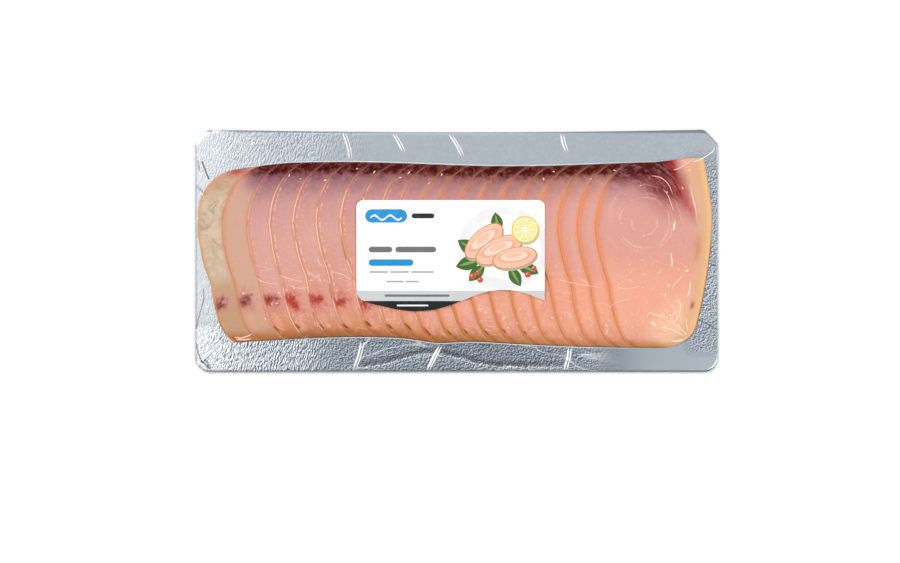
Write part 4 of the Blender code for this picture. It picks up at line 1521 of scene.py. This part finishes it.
def label_print():
    """The print, as (ink, outline) in millimetres from the bottom coat up."""
    shapes = []

    def coat(ink, outline):
        shapes.append((ink, outline))

    left, right = LABEL_LEFT / MM, LABEL_RIGHT / MM
    coat("light_grey_ink", under_wave(-22.8, left, right))
    coat("black_ink", under_wave(-28.6, left, 3.4))

    # A plain mark: a wave in a blue field, over a bar
    coat("blue_ink", bar(-52.0, -28.0, 16.0, 23.6))
    crest = [(-49.0 + 18.0 * t, 19.4 + 1.3 * math.sin(t * 4.0 * math.pi)) for t in np.linspace(0, 1, 25)]
    trough = [(x, y - 1.1) for x, y in reversed(crest)]
    coat("white_ink", crest + trough)
    for ink, place in TEXT_BARS:
        coat(ink, bar(*place))

    # The dish: a pale plate that runs off the label, folded slices on leaves, citrus, herbs and berries
    plate = (27.0, 1.5)
    coat("plate_ink", disc(plate, 26.0, 0.90, 56))
    coat("paper_shade_ink", disc((27.0, 1.9), 21.0, 0.88, 48))
    for place, reach, width, degrees in LEAVES:
        coat("green_ink", leaf(place, reach, width, degrees))
        coat("pale_green_ink", leaf(place, 0.9 * reach, 0.22 * width, degrees))
    for middle, radius, squash, degrees in DISH_SLICES:
        low = (middle[0] + 0.5, middle[1] - 1.1)
        coat("shadow_ink", turned(disc(low, radius, squash), low, degrees))
        coat("crust_ink", turned(disc(middle, radius, squash), middle, degrees))
        coat("peach_ink", turned(disc(middle, radius - 0.7, squash), middle, degrees))
        for share, ink in ((0.76, "rose_ink"), (0.60, "pink_ink"), (0.36, "peach_ink")):
            inner = (middle[0] - 0.8 * (1.0 - share), middle[1] + 2.2 * (1.0 - share))
            coat(ink, turned(disc(inner, share * radius, 0.72 * squash), inner, degrees - 5.0))
    lemon = (39.0, 12.0)
    coat("shadow_ink", disc((39.4, 11.2), 7.8))
    coat("lemon_rind_ink", disc(lemon, 7.8))
    coat("paper_shade_ink", disc(lemon, 6.8))
    for wedge in range(9):
        turn = 40.0 * wedge
        out = math.radians(turn + 20.0)
        start = (lemon[0] + 0.8 * math.cos(out), lemon[1] + 0.8 * math.sin(out))
        coat("lemon_ink", [start] + arc(lemon, 6.1, turn + 4.0, turn + 36.0, 5))
        start = (lemon[0] + 2.4 * math.cos(out), lemon[1] + 2.4 * math.sin(out))
        coat("pale_lemon_ink", [start] + arc(lemon, 5.2, turn + 11.0, turn + 29.0, 4))
    for place, size in BERRIES:
        coat("berry_ink", disc(place, size, 1.0, 18))
        coat("pale_berry_ink", disc((place[0] - 0.5, place[1] + 0.5), 0.35 * size, 1.0, 10))
    return shapes


INKS = {
    "black_ink": (0.012, 0.012, 0.013),
    "grey_ink": (0.16, 0.16, 0.165),
    "mid_grey_ink": (0.40, 0.40, 0.40),
    "light_grey_ink": (0.60, 0.60, 0.61),
    "blue_ink": (0.010, 0.270, 0.620),
    "white_ink": (0.90, 0.90, 0.90),
    "plate_ink": (0.80, 0.80, 0.79),
    "paper_shade_ink": (0.88, 0.87, 0.84),
    "crust_ink": (0.62, 0.22, 0.08),
    "peach_ink": (0.86, 0.52, 0.36),
    "pink_ink": (0.90, 0.64, 0.52),
    "rose_ink": (0.80, 0.42, 0.30),
    "shadow_ink": (0.50, 0.40, 0.32),
    "lemon_rind_ink": (0.86, 0.58, 0.04),
    "lemon_ink": (0.90, 0.70, 0.14),
    "pale_lemon_ink": (0.92, 0.80, 0.36),
    "green_ink": (0.050, 0.135, 0.025),
    "pale_green_ink": (0.20, 0.36, 0.09),
    "berry_ink": (0.60, 0.070, 0.020),
    "pale_berry_ink": (0.88, 0.34, 0.22),
}


class PACK_OT_label(bpy.types.Operator):
    """Make the label that is stuck on the film"""

    bl_idname = "pack.label"
    bl_label = "Label"

    def execute(self, context):
        settings = context.scene.pack_label
        piece = label_piece(label_outline(), label_print(), settings)
        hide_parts("label")
        return {"FINISHED"}


def divided(polygon, step):
    """A closed outline with its long edges divided, so that the sheet can bend between them."""
    points = []
    for (x1, y1), (x2, y2) in zip(polygon, polygon[1:] + polygon[:1]):
        count = max(1, math.ceil(math.hypot(x2 - x1, y2 - y1) / step))
        points += [(x1 + (x2 - x1) * k / count, y1 + (y2 - y1) * k / count) for k in range(count)]
    return points


def label_faces(outline, shapes):
    """A flat triangle mesh over the label in millimetres, its edges along every printed shape."""
    step = LABEL_STEP / MM
    outline = divided(outline, step)
    shapes = [(ink, divided(polygon, step)) for ink, polygon in shapes]
    points, edges = [], []
    for _, polygon in [("", outline)] + shapes:
        start = len(points)
        points += polygon
        count = len(polygon)
        edges += [(start + k, start + (k + 1) % count) for k in range(count)]
    x = np.arange(LABEL_LEFT / MM + 0.6, LABEL_RIGHT / MM, step)
    y = np.arange((LABEL_NEAR - LABEL_DIP) / MM, LABEL_FAR / MM, step)
    lattice = np.stack(np.meshgrid(x, y), axis=-1).reshape(-1, 2)
    points += [tuple(point) for point in lattice[inside(lattice, outline)]]
    made, _, faces, *_ = delaunay_2d_cdt([Vector(p) for p in points], edges, [], 0, 1e-4)
    flat = np.array([tuple(p) for p in made])
    faces = np.array(faces)
    middles = flat[faces].mean(axis=1)
    inks = np.full(len(faces), "label_paper", dtype=object)
    for ink, polygon in shapes:
        inks[inside(middles, polygon)] = ink
    kept = inside(middles, outline)
    return flat, faces[kept].tolist(), list(inks[kept])


def label_piece(outline, shapes, settings):
    """The label as a closed sheet, on the film where that bridges the slices."""
    flat, faces, inks = label_faces(outline, shapes)
    flat = flat * MM
    count = len(flat)
    under = SKIN["bridging"].read(flat[:, 0], flat[:, 1]) + settings.lift
    layers = [np.column_stack((flat, z)) for z in (under + settings.thickness, under)]
    sides = set()
    for face in faces:
        for a, b in zip(face, face[1:] + face[:1]):
            sides ^= {(min(a, b), max(a, b))}
    walls = []
    for face in faces:
        for a, b in zip(face, face[1:] + face[:1]):
            if (min(a, b), max(a, b)) in sides:
                walls.append((b, a, a + count, b + count))
    back = [[corner + count for corner in reversed(face)] for face in faces]
    paper = ink_material("label_paper", settings.paper)
    piece = add_piece("label", np.concatenate(layers), faces + back + walls, paper)
    piece.data.set_sharp_from_angle(angle=math.radians(40.0))
    names = ["label_paper", *INKS]
    for name, tone in INKS.items():
        piece.data.materials.append(ink_material(name, tone))
    numbers = [names.index(ink) for ink in inks] + [0] * (len(back) + len(walls))
    piece.data.polygons.foreach_set("material_index", numbers)
    return piece


def ink_material(name, tone):
    g = new_graph(name)
    spot, *_ = g.place()
    tooth = g.noise(spot, 2.5, 2.0)
    shade = g.blend(tooth.ramp(0.3, 0.7), tuple(0.96 * c for c in tone), tuple(tone))
    rough = tooth.ramp(0.3, 0.7, 0.34, 0.42)
    normal = g.bump(tooth, 0.02 * MM, 0.4)
    return g.finish(base_color=shade, roughness=rough, normal=normal, specular_ior_level=0.3)


# Stage


class PACK_PG_stage(bpy.types.PropertyGroup):
    """Floor, lights and camera."""

    floor: colour("Floor", "Colour of the floor", (0.90, 0.90, 0.90))
    camera_height: length("Camera height", "Camera over the floor", 1.6, 5.0)
    view_width: length("View width", "Width of floor that the camera sees", 0.5162, 2.0)
    key_power: number("Key light", "Power of the soft key light", 66.0, 500.0, unit="POWER")
    fill_power: number("Fill light", "Power of the soft fill light", 44.0, 500.0, unit="POWER")
    sky: number("Surrounding light", "Brightness of the room", 0.50, 5.0, subtype="FACTOR")


CAMERA_AIM = Vector((-3.7 * MM, -17.5 * MM, 0.0))


def area_light(name, place, size, power):
    data = bpy.data.lights.new(name, "AREA")
    data.shape = "RECTANGLE"
    data.size, data.size_y = size
    data.energy = power
    light = bpy.data.objects.new(name, data)
    light.location = place
    light.rotation_euler = (-Vector(place)).to_track_quat("-Z", "Y").to_euler()
    bpy.context.scene.collection.objects.link(light)


def light_room(world, strength):
    """A pale room, brighter behind and to the left of the pack than in front and to the right."""
    g = Graph(world)
    x, y, _ = g.split(g.make("TexCoord", {}, "Generated"))
    brightness = g.maths("MULTIPLY_ADD", y, 0.34, g.maths("MULTIPLY_ADD", x, -0.40, strength))
    back = g.tree.nodes["Background"]
    g.put(back.inputs["Strength"], g.most(brightness, 0.04))
    g.put(back.inputs["Color"], (0.97, 0.985, 1.0, 1.0))


class PACK_OT_stage(bpy.types.Operator):
    """Set up the floor, the soft lights and the camera over the pack"""

    bl_idname = "pack.stage"
    bl_label = "Stage"

    def execute(self, context):
        settings = context.scene.pack_stage
        under_pack = (0.0, 0.0, -0.2 * MM)
        bpy.ops.mesh.primitive_grid_add(x_subdivisions=8, y_subdivisions=8, size=6.0, location=under_pack)
        floor = context.object
        floor.name = "floor"
        g = new_graph("floor")
        spot, *_ = g.place()
        soft = g.noise(spot, 0.004, 2.0)
        tone = g.blend(soft, tuple(0.985 * c for c in settings.floor), tuple(settings.floor))
        floor.data.materials.append(
            g.finish(base_color=tone, roughness=soft.ramp(0.0, 1.0, 0.45, 0.55))
        )
        world = bpy.data.worlds.new("studio")
        light_room(world, settings.sky)
        context.scene.world = world
        area_light("key", (-1.9, 1.4, 3.0), (1.1, 1.1), settings.key_power)
        area_light("fill", (1.7, -0.5, 2.6), (1.6, 1.6), settings.fill_power)
        camera_data = bpy.data.cameras.new("camera")
        camera_data.lens = camera_data.sensor_width * settings.camera_height / settings.view_width
        camera_data.clip_start = 0.05
        camera = bpy.data.objects.new("camera", camera_data)
        camera.location = CAMERA_AIM + Vector((0.0, 0.0, settings.camera_height))
        context.scene.collection.objects.link(camera)
        context.scene.camera = camera
        context.scene.view_settings.view_transform = "Standard"
        return {"FINISHED"}


class PACK_PT_sidebar(bpy.types.Panel):
    """The pack's operators and settings"""

    bl_idname = "PACK_PT_sidebar"
    bl_label = "Smoked fish pack"
    bl_space_type = "VIEW_3D"
    bl_region_type = "UI"
    bl_category = "Pack"

    def draw(self, context):
        for operator, group in OPERATORS:
            box = self.layout.box()
            box.operator(operator.bl_idname)
            settings = getattr(context.scene, group)
            for name in settings.__annotations__:
                box.prop(settings, name)


OPERATORS = [
    (PACK_OT_card, "pack_card"),
    (PACK_OT_slices, "pack_fish"),
    (PACK_OT_film, "pack_film"),
    (PACK_OT_film_folds, "pack_film"),
    (PACK_OT_label, "pack_label"),
    (PACK_OT_stage, "pack_stage"),
]
GROUPS = {
    "pack_card": PACK_PG_card,
    "pack_fish": PACK_PG_fish,
    "pack_film": PACK_PG_film,
    "pack_label": PACK_PG_label,
    "pack_stage": PACK_PG_stage,
}


def register():
    for name, group in GROUPS.items():
        bpy.utils.register_class(group)
        setattr(bpy.types.Scene, name, PointerProperty(type=group))
    for operator, _ in OPERATORS:
        bpy.utils.register_class(operator)
    bpy.utils.register_class(PACK_PT_sidebar)


def unregister():
    bpy.utils.unregister_class(PACK_PT_sidebar)
    for operator, _ in reversed(OPERATORS):
        bpy.utils.unregister_class(operator)
    for name, group in GROUPS.items():
        delattr(bpy.types.Scene, name)
        bpy.utils.unregister_class(group)


def main():
    register()
    for operator, _ in OPERATORS:
        group, call = operator.bl_idname.split(".")
        getattr(getattr(bpy.ops, group), call)()


if __name__ == "__main__":
    main()
